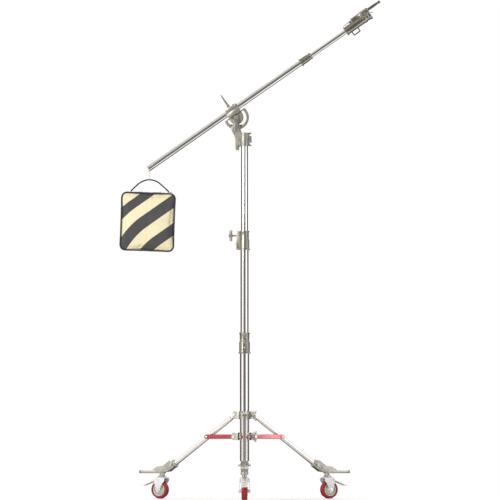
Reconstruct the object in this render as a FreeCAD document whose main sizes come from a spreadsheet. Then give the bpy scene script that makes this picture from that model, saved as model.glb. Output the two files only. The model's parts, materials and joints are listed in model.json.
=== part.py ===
import FreeCAD, Part
import math
import os
import re
import Sketcher

# Wheeled boom stand. Millimetres, +Z up, origin on the floor at the column's axis.
# +X is the side that the boom's head rises towards, -Y is the stand's front.

Vector = FreeCAD.Vector
doc = FreeCAD.newDocument("boom_stand")

# ---------------------------------------------------------------- driving dimensions

DIMENSIONS = {
    # running and seating gaps
    "fit_gap": 0.06,
    "seat_gap": 0.05,
    "slide_gap": 0.35,
    # column tubes
    "tube_1_radius": 25.4,
    "tube_1_wall": 2.6,
    "tube_1_low": 212,
    "tube_1_high": 866,
    "tube_2_radius": 22.25,
    "tube_2_wall": 2.4,
    "tube_2_low": 640,
    "tube_2_high": 1428,
    "tube_3_radius": 19.05,
    "tube_3_wall": 2,
    "tube_3_low": 1140,
    "tube_3_high": 2014,
    # riser lock collars
    "collar_1_low": 801,
    "collar_1_high": 917,
    "collar_1_step": 867,
    "collar_1_lower_radius": 29.5,
    "collar_1_upper_radius": 26.5,
    "collar_1_knob_height": 886,
    "collar_2_low": 1370,
    "collar_2_high": 1477,
    "collar_2_step": 1429,
    "collar_2_lower_radius": 26,
    "collar_2_upper_radius": 23.5,
    "collar_2_knob_height": 1449,
    "collar_flange": 4.5,
    "collar_flange_height": 6,
    "collar_rib_reach": 19,
    "collar_rib_width": 18,
    "collar_screw_radius": 4,
    "collar_screw_reach": 15,
    "collar_screw_rise": 32,
    # T-knobs
    "knob_stem_radius": 4,
    "knob_hub_radius": 10,
    "knob_start": 42,
    "knob_hub_start": 21,
    "knob_hub_end": 45,
    "knob_arm_radius": 6.6,
    "knob_arm_length": 60,
    "knob_arm_end_radius": 7.4,
    "knob_arm_grip": 15,
    # wing knobs on the base collars
    "wing_stem_start": 25.8,
    "wing_hub_start": 46,
    "wing_hub_end": 66,
    "wing_hub_radius": 9,
    "wing_span": 31,
    "wing_thickness": 6,
    "wing_azimuth": -30,
    # base collars
    "ring_radius": 31,
    "neck_radius": 10.5,
    "neck_end": 45,
    "spider_low": 440,
    "spider_high": 484,
    "spider_ear_end": 66,
    "spider_ear_half": 16,
    "spider_slot_half": 10.3,
    "spider_slot_start": 40,
    "brace_collar_low": 324,
    "brace_collar_high": 367,
    "brace_ear_end": 68,
    "brace_ear_half": 27,
    "brace_slot_half": 21.8,
    "brace_slot_start": 40,
    "pin_radius": 4,
    "pin_head_radius": 6.5,
    "pin_head_height": 3,
    # legs
    "leg_pivot_out": 57,
    "leg_pivot_up": 466,
    "leg_slope": 35.2,
    "leg_radius": 14,
    "leg_wall": 2,
    "leg_tube_start": 32,
    "leg_tube_end": 512,
    "tongue_half": 10,
    "tongue_radius": 12,
    # red braces
    "brace_pivot_out": 54,
    "brace_pivot_up": 344,
    "brace_length": 178.01,
    "brace_droop": 0.467,
    "brace_half_height": 12.5,
    "brace_inner": 17,
    "brace_outer": 21,
    "rivet_radius": 6,
    "rivet_head": 2.5,
    "rivet_inner": 14.6,
    # foot castings: outline points are (out, up) in the leg's upright plane
    "foot_half": 20,
    "foot_flange_along": 466,
    "foot_flange_radius": 23.5,
    "foot_flange_thick": 8,
    "foot_sleeve_radius": 18.5,
    "foot_sleeve_end": 515,
    "toe_low": 140,
    "toe_high": 155.5,
    "toe_half": 21,
    "toe_start": 556,
    "toe_tip": 667,
    "foot_screw_out": 452,
    "foot_screw_up": 190,
    "foot_screw_radius": 4,
    "foot_screw_head": 6.3,
    "foot_screw_reach": 34.7,
    "foot_screw_head_height": 6,
    # casters
    "stem_out": 524,
    "stem_radius": 6,
    "stem_top": 176,
    "stem_cup_radius": 13,
    "stem_neck_radius": 11,
    "stem_head_radius": 10,
    "wheel_out": 537,
    "wheel_radius": 50,
    "wheel_half": 16.5,
    "rim_radius": 36,
    "axle_radius": 5,
    "nut_radius": 7,
    "nut_reach": 33,
    "fork_half": 28.5,
    "fork_plate": 3,
    "fork_back": 496,
    "fork_front": 553,
    "fork_low": 112,
    "fork_dome_high": 127.5,
    "fork_eye_radius": 13.5,
    "pedal_pivot_out": 553,
    "pedal_pivot_up": 104,
    "pedal_pin_radius": 3,
    "pedal_barrel_radius": 5.2,
    "pedal_half": 20,
    "pedal_thick": 2.6,
    # tilt head
    "pivot_x": -44.5,
    "pivot_z": 2100,
    "sleeve_low": 1942,
    "sleeve_high": 2016,
    "sleeve_radius": 24,
    "cheek_inner": 5.2,
    "cheek_outer": 14,
    "cheek_eye": 13.5,
    "lug_half": 11,
    "lug_end": 29,
    "lug_flange": 8,
    "lug_flange_end": 37.5,
    "pivot_bolt_radius": 6,
    "pivot_head_radius": 10,
    "slot_bolt_radius": 6,
    "slot_bolt_drop": 46,
    "bolt_head_height": 5,
    # sector plate and boom clamp, in the boom's frame with its origin at the pivot
    "boom_offset": 44.5,
    "boom_angle": 34.85,
    "sector_half": 4.8,
    "sector_radius": 68.5,
    "sector_flat": 18,
    "slot_inner": 39.5,
    "slot_outer": 53,
    "slot_sweep": 97,
    "clamp_start": -38,
    "clamp_end": 43,
    "clamp_low": 19,
    "clamp_split": 44,
    "clamp_high": 66,
    "clamp_half": 26,
    "clamp_bolt_radius": 3.5,
    "clamp_bolt_side": 20.8,
    "clamp_bolt_inset": 14,
    "lever_at": -1,
    "lever_axis_up": 76,
    "lever_hub_radius": 9,
    "lever_hub_half": 7,
    "lever_ear_inner": 7.4,
    "lever_ear_outer": 13,
    "lever_root_radius": 6,
    "lever_tip_radius": 2.8,
    "lever_tip_up": 152,
    # boom
    "boom_outer_radius": 16,
    "boom_outer_wall": 2.6,
    "boom_tail": -560,
    "boom_outer_end": 495,
    "boom_inner_radius": 12.7,
    "boom_inner_wall": 1.9,
    "boom_inner_start": -320,
    "boom_inner_end": 842,
    "boom_sleeve_start": 460,
    "boom_sleeve_end": 531,
    "boom_sleeve_radius": 19.5,
    "tail_cap": 8,
    "tail_spigot": 20,
    "hook_eye_along": -567,
    "hook_eye_drop": 20,
    "hook_lug_half": 3,
    "hook_wire": 2.2,
    # boom head
    "socket_start": 761,
    "socket_end": 929,
    "socket_radius": 23.5,
    "socket_flange": 27,
    "socket_bore": 14.3,
    "socket_floor": 850,
    "holder_start": 822,
    "holder_end": 930,
    "holder_radius": 15.5,
    "holder_rise": 29,
    "baby_pin_radius": 7.94,
    "baby_pin_shank": 7,
    "baby_pin_start": 852,
    "baby_pin_end": 1012,
    "loop_start": 790,
    "loop_end": 830,
    "loop_drop": 43.5,
    "loop_wire": 2.5,
    "latch_start": 768,
    "latch_end": 812,
    # sandbag
    "bag_x": -533,
    "bag_low": 1363,
    "bag_high": 1688,
    "bag_width": 301,
    "bag_depth": 84,
    "bag_corner": 31,
    "bag_skin": 4,
    "bag_tilt": 2,
    "pouch_width": 126,
    "pouch_height": 250,
    "pouch_depth": 40,
    "strap_width": 38,
    "strap_thick": 4.5,
    "strap_top": 1758,
}

sheet = doc.addObject("Spreadsheet::Sheet", "dims")
for row, (alias, number) in enumerate(DIMENSIONS.items(), start=1):
    sheet.set(f"A{row}", alias)
    sheet.set(f"B{row}", str(number))
    sheet.setAlias(f"B{row}", alias)
doc.recompute()

nodes = []


def ex(text):
    """An expression in which each dimension's name points at its cell."""
    return re.sub(
        r"[a-z][a-z0-9_]*",
        lambda word: "dims." + word[0] if word[0] in DIMENSIONS else word[0],
        str(text),
    )


def size(text):
    """The value of an expression in millimetres or degrees."""
    return float(sheet.evalExpression(ex(text)))


# ---------------------------------------------------------------- building blocks

AXES = {"X": Vector(1, 0, 0), "Y": Vector(0, 1, 0), "Z": Vector(0, 0, 1)}
ALONG_X = ("Y", "90")
ALONG_MINUS_X = ("Y", "-90")
ALONG_Y = ("X", "-90")
ALONG_MINUS_Y = ("X", "90")


def place(item, at=("0", "0", "0"), turn=None):
    """Puts an object at a point, turned by one bound angle about one axis."""
    if turn:
        axis, angle = turn
        item.Placement = FreeCAD.Placement(Vector(), FreeCAD.Rotation(AXES[axis], size(angle)))
        if size(angle) > 0:
            item.setExpression("Placement.Rotation.Angle", ex(angle))
    for name, text in zip("xyz", at):
        item.setExpression(f"Placement.Base.{name}", ex(text))
    return item


def cylinder(name, radius, length, at=("0", "0", "0"), turn=None):
    item = doc.addObject("Part::Cylinder", name)
    item.setExpression("Radius", ex(radius))
    item.setExpression("Height", ex(length))
    return place(item, at, turn)


def cone(name, radius_1, radius_2, length, at=("0", "0", "0"), turn=None):
    item = doc.addObject("Part::Cone", name)
    item.setExpression("Radius1", ex(radius_1))
    item.setExpression("Radius2", ex(radius_2))
    item.setExpression("Height", ex(length))
    return place(item, at, turn)


def box(name, xs, ys, zs):
    """A block between two limits along each axis."""
    item = doc.addObject("Part::Box", name)
    for side, (low, high) in zip(("Length", "Width", "Height"), (xs, ys, zs)):
        item.setExpression(side, ex(f"({high}) - ({low})"))
    return place(item, (xs[0], ys[0], zs[0]))


def both_sides(half):
    return (f"-({half})", half)


def fuse(name, *parts):
    item = doc.addObject("Part::MultiFuse", name)
    item.Shapes = list(parts)
    item.Refine = True
    return item


def cut(name, base, *tools):
    item = doc.addObject("Part::Cut", name)
    item.Base = base
    item.Tool = tools[0] if len(tools) == 1 else fuse(name + "_tools", *tools)
    item.Refine = True
    return item


def group(name, *parts):
    """Separate solids that share one node."""
    item = doc.addObject("Part::Compound", name)
    item.Links = list(parts)
    return item


def outline_sketch(body, name, outline):
    """A closed outline in the body's XZ plane. Every corner is bound to the sheet."""
    sketch = body.newObject("Sketcher::SketchObject", name)
    plane = next(item for item in body.Origin.OriginFeatures if item.Role == "XZ_Plane")
    sketch.AttachmentSupport = (plane, [""])
    sketch.MapMode = "FlatFace"
    corners = [(size(across), size(up)) for across, up in outline]
    count = len(corners)
    for index, start in enumerate(corners):
        end = corners[(index + 1) % count]
        sketch.addGeometry(Part.LineSegment(Vector(*start, 0), Vector(*end, 0)), False)
    for index in range(count):
        sketch.addConstraint(Sketcher.Constraint("Coincident", index, 2, (index + 1) % count, 1))
    for index, ((across, up), (x, z)) in enumerate(zip(outline, corners)):
        for kind, text, number, axis in (("DistanceX", across, x, -2), ("DistanceY", up, z, -1)):
            if abs(number) < 1e-9:
                sketch.addConstraint(Sketcher.Constraint("PointOnObject", index, 1, axis))
                continue
            rule = sketch.addConstraint(Sketcher.Constraint(kind, -1, 1, index, 1, number))
            sketch.setExpression(f"Constraints[{rule}]", ex(text))
    return sketch


def lathe(name, outline, at=("0", "0", "0"), turn=None):
    """A body turned about its own Z axis from (radius, height) corners."""
    body = doc.addObject("PartDesign::Body", name)
    sketch = outline_sketch(body, name + "_outline", outline)
    solid = body.newObject("PartDesign::Revolution", name + "_turned")
    solid.Profile = (sketch, [""])
    solid.ReferenceAxis = (sketch, ["V_Axis"])
    solid.Angle = 360
    body.Tip = solid
    return place(body, at, turn)


def plate(name, outline, thickness, at=("0", "0", "0")):
    """A body padded both ways from its XZ plane from (x, z) corners."""
    body = doc.addObject("PartDesign::Body", name)
    sketch = outline_sketch(body, name + "_outline", outline)
    pad = body.newObject("PartDesign::Pad", name + "_pad")
    pad.Profile = (sketch, [""])
    pad.setExpression("Length", ex(thickness))
    pad.SideType = "Symmetric"
    body.Tip = pad
    return place(body, at)


def node(item, label):
    """Marks a finished sub-part, which keeps the place that it was built in."""
    item.Label = label
    nodes.append(item)
    return item


def seat(item, label, out="0", up="0", azimuth=0, pitch="0"):
    """Marks a finished sub-part built in an upright plane, and turns it to its azimuth."""
    turned = FreeCAD.Rotation(AXES["Z"], azimuth) * FreeCAD.Rotation(AXES["Y"], size(pitch))
    item.Placement = FreeCAD.Placement(Vector(), turned)
    item.setExpression("Placement.Base.x", f"({ex(out)}) * cos({azimuth})")
    item.setExpression("Placement.Base.y", f"({ex(out)}) * sin({azimuth})")
    item.setExpression("Placement.Base.z", ex(up))
    return node(item, label)


def bent_wire(name, points, radius, bend):
    """A round wire through the points, with every corner bent to one radius."""
    edges = []
    start = points[0]
    for before, corner, after in zip(points, points[1:], points[2:]):
        inward = (before - corner).normalize()
        outward = (after - corner).normalize()
        half = inward.getAngle(outward) / 2
        reach = bend / math.tan(half)
        first = corner + inward * reach
        last = corner + outward * reach
        middle = corner + (inward + outward).normalize() * (bend / math.sin(half) - bend)
        edges.append(Part.LineSegment(start, first).toShape())
        edges.append(Part.Arc(first, middle, last).toShape())
        start = last
    edges.append(Part.LineSegment(start, points[-1]).toShape())
    spine = Part.Wire(edges)
    ring = Part.Circle(points[0], points[1] - points[0], radius).toShape()
    item = doc.addObject("Part::Feature", name)
    item.Shape = spine.makePipeShell([Part.Wire([ring])], True, False)
    return item


# ---------------------------------------------------------------- column

def tube(name, label, radius, wall, low, high):
    inner = f"{radius} - {wall}"
    return node(lathe(name, [(inner, low), (radius, low), (radius, high), (inner, high)]), label)


tube("lower", "lower_tube", "tube_1_radius", "tube_1_wall", "tube_1_low", "tube_1_high")
tube("middle", "middle_tube", "tube_2_radius", "tube_2_wall", "tube_2_low", "tube_2_high")
tube("upper", "upper_tube", "tube_3_radius", "tube_3_wall", "tube_3_low", "tube_3_high")


def t_knob(name, label, reach, at, turn):
    """A lock screw with a T-shaped hand grip. Its own Z axis points away from the collar."""
    stem = lathe(
        name + "_stem",
        [
            ("0", reach),
            ("knob_stem_radius", reach),
            ("knob_stem_radius", "knob_start + knob_hub_start"),
            ("knob_hub_radius - 3", "knob_start + knob_hub_start + 2"),
            ("knob_hub_radius", "knob_start + knob_hub_start + 6"),
            ("knob_hub_radius", "knob_start + knob_hub_end - 5"),
            ("knob_hub_radius - 4", "knob_start + knob_hub_end"),
            ("0", "knob_start + knob_hub_end"),
        ],
    )
    middle = "knob_start + (knob_hub_start + knob_hub_end) / 2"
    half = "knob_arm_length / 2"
    arm = lathe(
        name + "_arm",
        [
            ("0", f"-{half}"),
            ("knob_arm_end_radius - 1.5", f"-{half}"),
            ("knob_arm_end_radius", f"1.5 - {half}"),
            ("knob_arm_end_radius", f"knob_arm_grip - {half}"),
            ("knob_arm_radius", f"knob_arm_grip + 1 - {half}"),
            ("knob_arm_radius", f"{half} - knob_arm_grip - 1"),
            ("knob_arm_end_radius", f"{half} - knob_arm_grip"),
            ("knob_arm_end_radius", f"{half} - 1.5"),
            ("knob_arm_end_radius - 1.5", half),
            ("0", half),
        ],
        ("0", "0", middle),
        ALONG_X if turn in (ALONG_X, ALONG_MINUS_X) else ALONG_Y,
    )
    return node(place(fuse(name, stem, arm), at, turn), label)


def riser_collar(name, label, tube_low, tube_high, screw_on_x):
    """A two-step lock collar with a rib for its lock screw, in front or on the left."""
    low, high, step = name + "_low", name + "_high", name + "_step"
    lower, upper = name + "_lower_radius", name + "_upper_radius"
    wide_bore = f"{tube_low} + seat_gap"
    slide_bore = f"{tube_high} + slide_gap"
    ring = lathe(
        name + "_ring",
        [
            (wide_bore, low),
            (f"{lower} + collar_flange - 1", low),
            (f"{lower} + collar_flange", f"{low} + 1"),
            (f"{lower} + collar_flange", f"{low} + collar_flange_height - 1"),
            (lower, f"{low} + collar_flange_height + 2"),
            (lower, f"{step} - 1.5"),
            (f"{lower} - 1.5", step),
            (upper, step),
            (upper, f"{high} - collar_flange_height - 3"),
            (f"{upper} + collar_flange - 1.5", f"{high} - collar_flange_height"),
            (f"{upper} + collar_flange - 1.5", f"{high} - 1.5"),
            (f"{upper} + collar_flange - 3", high),
            (slide_bore, high),
            (slide_bore, f"{step} - 1"),
            (wide_bore, f"{step} - 1"),
        ],
    )
    reach = f"{lower} + collar_rib_reach"
    knob_height = name + "_knob_height"
    half = "collar_rib_width / 2"
    turn = ALONG_MINUS_X if screw_on_x else ALONG_MINUS_Y
    rib_zs = (f"{low} + 2", f"{high} - 2")
    if screw_on_x:
        rib = box(name + "_rib", (f"-({reach})", f"3 - {upper}"), both_sides(half), rib_zs)
    else:
        rib = box(name + "_rib", both_sides(half), (f"-({reach})", f"3 - {upper}"), rib_zs)
    bore = cylinder(name + "_bore", slide_bore, f"{high} - {low}", ("0", "0", low))
    wide = cylinder(name + "_wide", wide_bore, f"{step} - 1 - {low}", ("0", "0", low))
    thread = cylinder(
        name + "_thread",
        "knob_stem_radius + fit_gap",
        f"{reach} + 5",
        ("0", "0", knob_height),
        turn,
    )
    screw_hole = cylinder(
        name + "_screw_hole", "collar_screw_radius - 1.5", "collar_flange + 4", turn=turn
    )
    screw_height = f"{low} + collar_screw_rise"
    start = f"-({reach}) + collar_flange"
    screw_at = (start, "0", screw_height) if screw_on_x else ("0", start, screw_height)
    place(screw_hole, screw_at, turn)
    return node(cut(name, fuse(name + "_body", ring, rib), bore, wide, thread, screw_hole), label)


riser_collar("collar_1", "first_lock_collar", "tube_1_radius", "tube_2_radius", False)
riser_collar("collar_2", "second_lock_collar", "tube_2_radius", "tube_3_radius", True)
t_knob(
    "first_knob", "first_lock_knob", "tube_2_radius + slide_gap",
    ("0", "0", "collar_1_knob_height"), ALONG_MINUS_Y,
)
t_knob(
    "second_knob", "second_lock_knob", "tube_3_radius + slide_gap",
    ("0", "0", "collar_2_knob_height"), ALONG_MINUS_X,
)

# ---------------------------------------------------------------- base collars

LEGS = {"front": -90, "right": 30, "left": 150}
SPIDER_ROUND = "spider_ear_end - leg_pivot_out"


def base_collar(name, label, low, high, ear_half, ear_end, slot_half, slot_start, pivot_out, pivot_up):
    """A ring on the column with three slotted ears and a neck for its wing knob."""
    bore = "tube_1_radius + slide_gap"
    ring = lathe(
        name + "_ring",
        [
            (bore, low),
            ("ring_radius - 1.5", low),
            ("ring_radius", f"{low} + 1.5"),
            ("ring_radius", f"{high} - 1.5"),
            ("ring_radius - 1.5", high),
            (bore, high),
        ],
    )
    solids, voids = [ring], []
    for leg, azimuth in LEGS.items():
        ear = plate(
            f"{name}_ear_{leg}",
            [
                ("tube_1_radius + 2", f"{low} + 1"),
                (f"{ear_end} - 7", f"{low} + 1"),
                (ear_end, f"{low} + 8"),
                (ear_end, f"{high} - 8"),
                (f"{ear_end} - 7", f"{high} - 1"),
                ("tube_1_radius + 2", f"{high} - 1"),
            ],
            f"2 * {ear_half}",
        )
        slot = box(
            f"{name}_slot_{leg}",
            (slot_start, f"{ear_end} + 5"),
            both_sides(slot_half),
            (f"{low} - 1", f"{high} + 1"),
        )
        hole = cylinder(
            f"{name}_hole_{leg}",
            "pin_radius + seat_gap",
            f"2 * {ear_half} + 4",
            (pivot_out, f"-({ear_half}) - 2", pivot_up),
            ALONG_Y,
        )
        lug = cut(f"{name}_lug_{leg}", ear, slot, hole)
        lug.Placement = FreeCAD.Placement(Vector(), FreeCAD.Rotation(AXES["Z"], azimuth))
        solids.append(lug)
    neck_at = f"({low} + {high}) / 2"
    for half, radius, length, parts in (
        ("neck", "neck_radius", "neck_end", solids),
        ("thread", "knob_stem_radius + fit_gap", "neck_end + 5", voids),
    ):
        item = cylinder(f"{name}_{half}", radius, length, ("0", "0", neck_at))
        turned = FreeCAD.Rotation(AXES["Z"], size("wing_azimuth")) * FreeCAD.Rotation(AXES["Y"], 90)
        item.Placement = FreeCAD.Placement(Vector(), turned)
        parts.append(item)
    voids.append(cylinder(name + "_bore", bore, f"{high} - {low} + 2", ("0", "0", f"{low} - 1")))
    return node(cut(name, fuse(name + "_body", *solids), *voids), label)


base_collar(
    "spider", "leg_spider", "spider_low", "spider_high", "spider_ear_half", "spider_ear_end",
    "spider_slot_half", "spider_slot_start", "leg_pivot_out", "leg_pivot_up",
)
base_collar(
    "hub", "brace_collar", "brace_collar_low", "brace_collar_high", "brace_ear_half",
    "brace_ear_end", "brace_slot_half", "brace_slot_start", "brace_pivot_out", "brace_pivot_up",
)


def hinge_pins(name, label, ear_half, pivot_out, pivot_up):
    """One headed pin through each pair of ears."""
    reach = f"{ear_half} + pin_head_height"
    pins = []
    for leg, azimuth in LEGS.items():
        pin = lathe(
            f"{name}_{leg}",
            [
                ("0", f"-({reach})"),
                ("pin_head_radius", f"-({reach})"),
                ("pin_head_radius", f"-({ear_half}) - seat_gap"),
                ("pin_radius", f"-({ear_half}) - seat_gap"),
                ("pin_radius", f"{ear_half} + seat_gap"),
                ("pin_head_radius", f"{ear_half} + seat_gap"),
                ("pin_head_radius", reach),
                ("0", reach),
            ],
        )
        turned = FreeCAD.Rotation(AXES["Z"], azimuth) * FreeCAD.Rotation(AXES["X"], -90)
        pin.Placement = FreeCAD.Placement(Vector(), turned)
        pin.setExpression("Placement.Base.x", ex(f"{pivot_out} * cos({azimuth})"))
        pin.setExpression("Placement.Base.y", ex(f"{pivot_out} * sin({azimuth})"))
        pin.setExpression("Placement.Base.z", ex(pivot_up))
        pins.append(pin)
    return node(group(name, *pins), label)


hinge_pins("spider_pins", "leg_hinge_pins", "spider_ear_half", "leg_pivot_out", "leg_pivot_up")
hinge_pins("hub_pins", "brace_hinge_pins", "brace_ear_half", "brace_pivot_out", "brace_pivot_up")


def wing_knob(name, label, up):
    """A lock screw with two flat wings. Its own X axis points away from the collar."""
    stem = cylinder(
        name + "_stem", "knob_stem_radius", "wing_hub_end - wing_stem_start - 2",
        ("wing_stem_start", "0", "0"), ALONG_X,
    )
    hub = lathe(
        name + "_hub",
        [
            ("0", "wing_hub_start"),
            ("wing_hub_radius", "wing_hub_start"),
            ("wing_hub_radius", "wing_hub_end - 4"),
            ("wing_hub_radius - 4", "wing_hub_end"),
            ("0", "wing_hub_end"),
        ],
        turn=ALONG_X,
    )
    wings = plate(
        name + "_wings",
        [
            ("wing_hub_start + 4", "0"),
            ("wing_hub_start + 5", "wing_hub_radius"),
            ("wing_hub_end - 1", "wing_span - 2"),
            ("wing_hub_end + 4", "wing_span"),
            ("wing_hub_end + 9", "wing_span - 4"),
            ("wing_hub_end + 2", "wing_hub_radius + 2"),
            ("wing_hub_end - 2", "0"),
            ("wing_hub_end + 2", "-(wing_hub_radius) - 2"),
            ("wing_hub_end + 9", "4 - wing_span"),
            ("wing_hub_end + 4", "-(wing_span)"),
            ("wing_hub_end - 1", "2 - wing_span"),
            ("wing_hub_start + 5", "-(wing_hub_radius)"),
        ],
        "wing_thickness",
    )
    seat(fuse(name, stem, hub, wings), label, "0", up, size("wing_azimuth"))


wing_knob("spider_wing", "spider_knob", "(spider_low + spider_high) / 2")
wing_knob("hub_wing", "brace_collar_knob", "(brace_collar_low + brace_collar_high) / 2")

# ---------------------------------------------------------------- legs, braces and feet


def leg_tube(leg, azimuth):
    """A round tube with a flat tongue for its hinge. X runs down the leg from the pivot."""
    name = f"leg_{leg}"
    outer = cylinder(
        name + "_outer", "leg_radius", "leg_tube_end - leg_tube_start",
        ("leg_tube_start", "0", "0"), ALONG_X,
    )
    inner = cylinder(
        name + "_inner", "leg_radius - leg_wall", "leg_tube_end - leg_tube_start",
        ("leg_tube_start + 30", "0", "0"), ALONG_X,
    )
    tongue = box(
        name + "_tongue", ("0", "leg_tube_start + 4"), both_sides("tongue_half"),
        both_sides("tongue_radius - 3"),
    )
    eye = cylinder(
        name + "_eye", "tongue_radius", "2 * tongue_half",
        ("0", "-(tongue_half)", "0"), ALONG_Y,
    )
    hole = cylinder(
        name + "_hole", "pin_radius + fit_gap", "2 * tongue_half + 4",
        ("0", "-(tongue_half) - 2", "0"), ALONG_Y,
    )
    body = cut(name, fuse(name + "_body", outer, tongue, eye), inner, hole)
    seat(body, f"{leg}_leg_tube", "leg_pivot_out", "leg_pivot_up", azimuth, "leg_slope")


def brace(leg, azimuth):
    """Twin flat bars with a headed rivet at each outer end. X runs out along the brace."""
    name = f"brace_{leg}"
    solids = []
    for side, low, high in (
        ("near", "-(brace_outer)", "-(brace_inner)"),
        ("far", "brace_inner", "brace_outer"),
    ):
        bar = box(f"{name}_{side}_bar", ("0", "brace_length"), (low, high), both_sides("brace_half_height"))
        ends = [
            cylinder(f"{name}_{side}_end_{index}", "brace_half_height", f"({high}) - ({low})",
                     (x, low, "0"), ALONG_Y)
            for index, x in enumerate(("0", "brace_length"))
        ]
        holes = [
            cylinder(f"{name}_{side}_hole_{index}", f"pin_radius + {gap}", f"({high}) - ({low}) + 2",
                     (x, f"({low}) - 1", "0"), ALONG_Y)
            for index, (x, gap) in enumerate((("0", "fit_gap"), ("brace_length", "seat_gap")))
        ]
        body = fuse(f"{name}_{side}_body", bar, *ends)
        solids.append(cut(f"{name}_{side}", body, *holes))
        rivet = lathe(
            f"{name}_{side}_rivet",
            [
                ("0", "rivet_inner"),
                ("rivet_radius - 1", "rivet_inner"),
                ("rivet_radius - 1", "brace_inner - seat_gap"),
                ("pin_radius", "brace_inner - seat_gap"),
                ("pin_radius", "brace_outer + seat_gap"),
                ("rivet_radius", "brace_outer + seat_gap"),
                ("rivet_radius - 1.5", "brace_outer + rivet_head"),
                ("0", "brace_outer + rivet_head"),
            ],
            ("brace_length", "0", "0"),
            ALONG_Y if side == "far" else ALONG_MINUS_Y,
        )
        solids.append(rivet)
    seat(group(name, *solids), f"{leg}_brace", "brace_pivot_out", "brace_pivot_up",
         azimuth, "brace_droop")


def down_the_leg(along):
    """The point (out, up) on the leg's axis at a distance from its pivot."""
    return (
        f"leg_pivot_out + ({along}) * cos(leg_slope)",
        f"leg_pivot_up - ({along}) * sin(leg_slope)",
    )


DOWN_LEG = ("Y", "90 + leg_slope")


def foot(leg, azimuth):
    """The foot casting: socket for the leg, stem boss and flat toe. X runs out from the column."""
    name = f"foot_{leg}"
    web = plate(
        name + "_web",
        [
            ("445", "178"), ("436", "177"), ("482", "150"), ("520", "144"), ("545", "toe_low"),
            ("toe_start + 20", "toe_low"), ("toe_start + 22", "toe_high"), ("toe_start + 4", "169"),
            ("545", "177"), ("526", "180"), ("508", "183"), ("488", "196"), ("468", "212"),
            ("452", "212"),
        ],
        "2 * foot_half",
    )
    flange_out, flange_up = down_the_leg("foot_flange_along")
    flange = cylinder(name + "_flange", "foot_flange_radius", "foot_flange_thick",
                      (flange_out, "0", flange_up), DOWN_LEG)
    sleeve = cylinder(name + "_sleeve", "foot_sleeve_radius + 3",
                      "foot_sleeve_end - foot_flange_along + 4", (flange_out, "0", flange_up), DOWN_LEG)
    boss = cylinder(name + "_boss", "foot_half", "20", ("stem_out", "0", "toe_low"))
    toe = box(name + "_toe", ("toe_start", "toe_tip - toe_half"), both_sides("toe_half"),
              ("toe_low", "toe_high"))
    tip = cylinder(name + "_tip", "toe_half", "toe_high - toe_low",
                   ("toe_tip - toe_half", "0", "toe_low"))
    body = fuse(name + "_body", web, flange, sleeve, boss, toe, tip)
    socket_out, socket_up = down_the_leg("foot_flange_along - 10")
    socket = cylinder(name + "_socket", "leg_radius + seat_gap",
                      "leg_tube_end + 0.5 - foot_flange_along + 10",
                      (socket_out, "0", socket_up), DOWN_LEG)
    screws = cylinder(name + "_screw_holes", "foot_screw_radius + seat_gap", "2 * foot_flange_radius + 4",
                      ("foot_screw_out", "-(foot_flange_radius) - 2", "foot_screw_up"), ALONG_Y)
    stem_hole = cylinder(name + "_stem_hole", "stem_radius + seat_gap",
                         "stem_top + 1 - toe_low + 2", ("stem_out", "0", "toe_low - 2"))
    well = cylinder(name + "_nut_well", "stem_radius + 4", "20", ("stem_out", "0", "stem_top - 8"))
    seat(cut(name, body, socket, screws, stem_hole, well), f"{leg}_foot_casting", azimuth=azimuth)


def foot_hardware(leg, azimuth):
    """The caster's stem with its cup, and the two screws that hold the leg in its socket."""
    name = f"foot_{leg}_stem"
    under = "fork_low - 0.3"
    stem = lathe(
        name,
        [
            ("0", "stem_top"),
            ("stem_radius", "stem_top"),
            ("stem_radius", "toe_low - seat_gap"),
            ("stem_cup_radius", "toe_low - seat_gap"),
            ("stem_cup_radius + 1", "toe_low - 5"),
            ("stem_cup_radius", "fork_dome_high + 0.5"),
            ("stem_neck_radius", "fork_dome_high + 0.5"),
            ("stem_neck_radius", "fork_low + 4.3"),
            ("stem_radius", "fork_low + 4.3"),
            ("stem_radius", under),
            ("stem_head_radius", under),
            ("stem_head_radius", f"{under} - 4"),
            ("0", f"{under} - 4"),
        ],
        ("stem_out", "0", "0"),
    )
    solids = [stem]
    for side, turn in (("near", ALONG_MINUS_Y), ("far", ALONG_Y)):
        solids.append(
            lathe(
                f"foot_{leg}_{side}_screw",
                [
                    ("0", "leg_radius + 0.3"),
                    ("foot_screw_radius", "leg_radius + 0.3"),
                    ("foot_screw_radius", "foot_screw_reach - foot_screw_head_height"),
                    ("foot_screw_head", "foot_screw_reach - foot_screw_head_height"),
                    ("foot_screw_head", "foot_screw_reach - 1"),
                    ("foot_screw_head - 1", "foot_screw_reach"),
                    ("0", "foot_screw_reach"),
                ],
                ("foot_screw_out", "0", "foot_screw_up"),
                turn,
            )
        )
    seat(group(f"foot_{leg}_hardware", *solids), f"{leg}_foot_hardware", azimuth=azimuth)


# ---------------------------------------------------------------- casters


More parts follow.
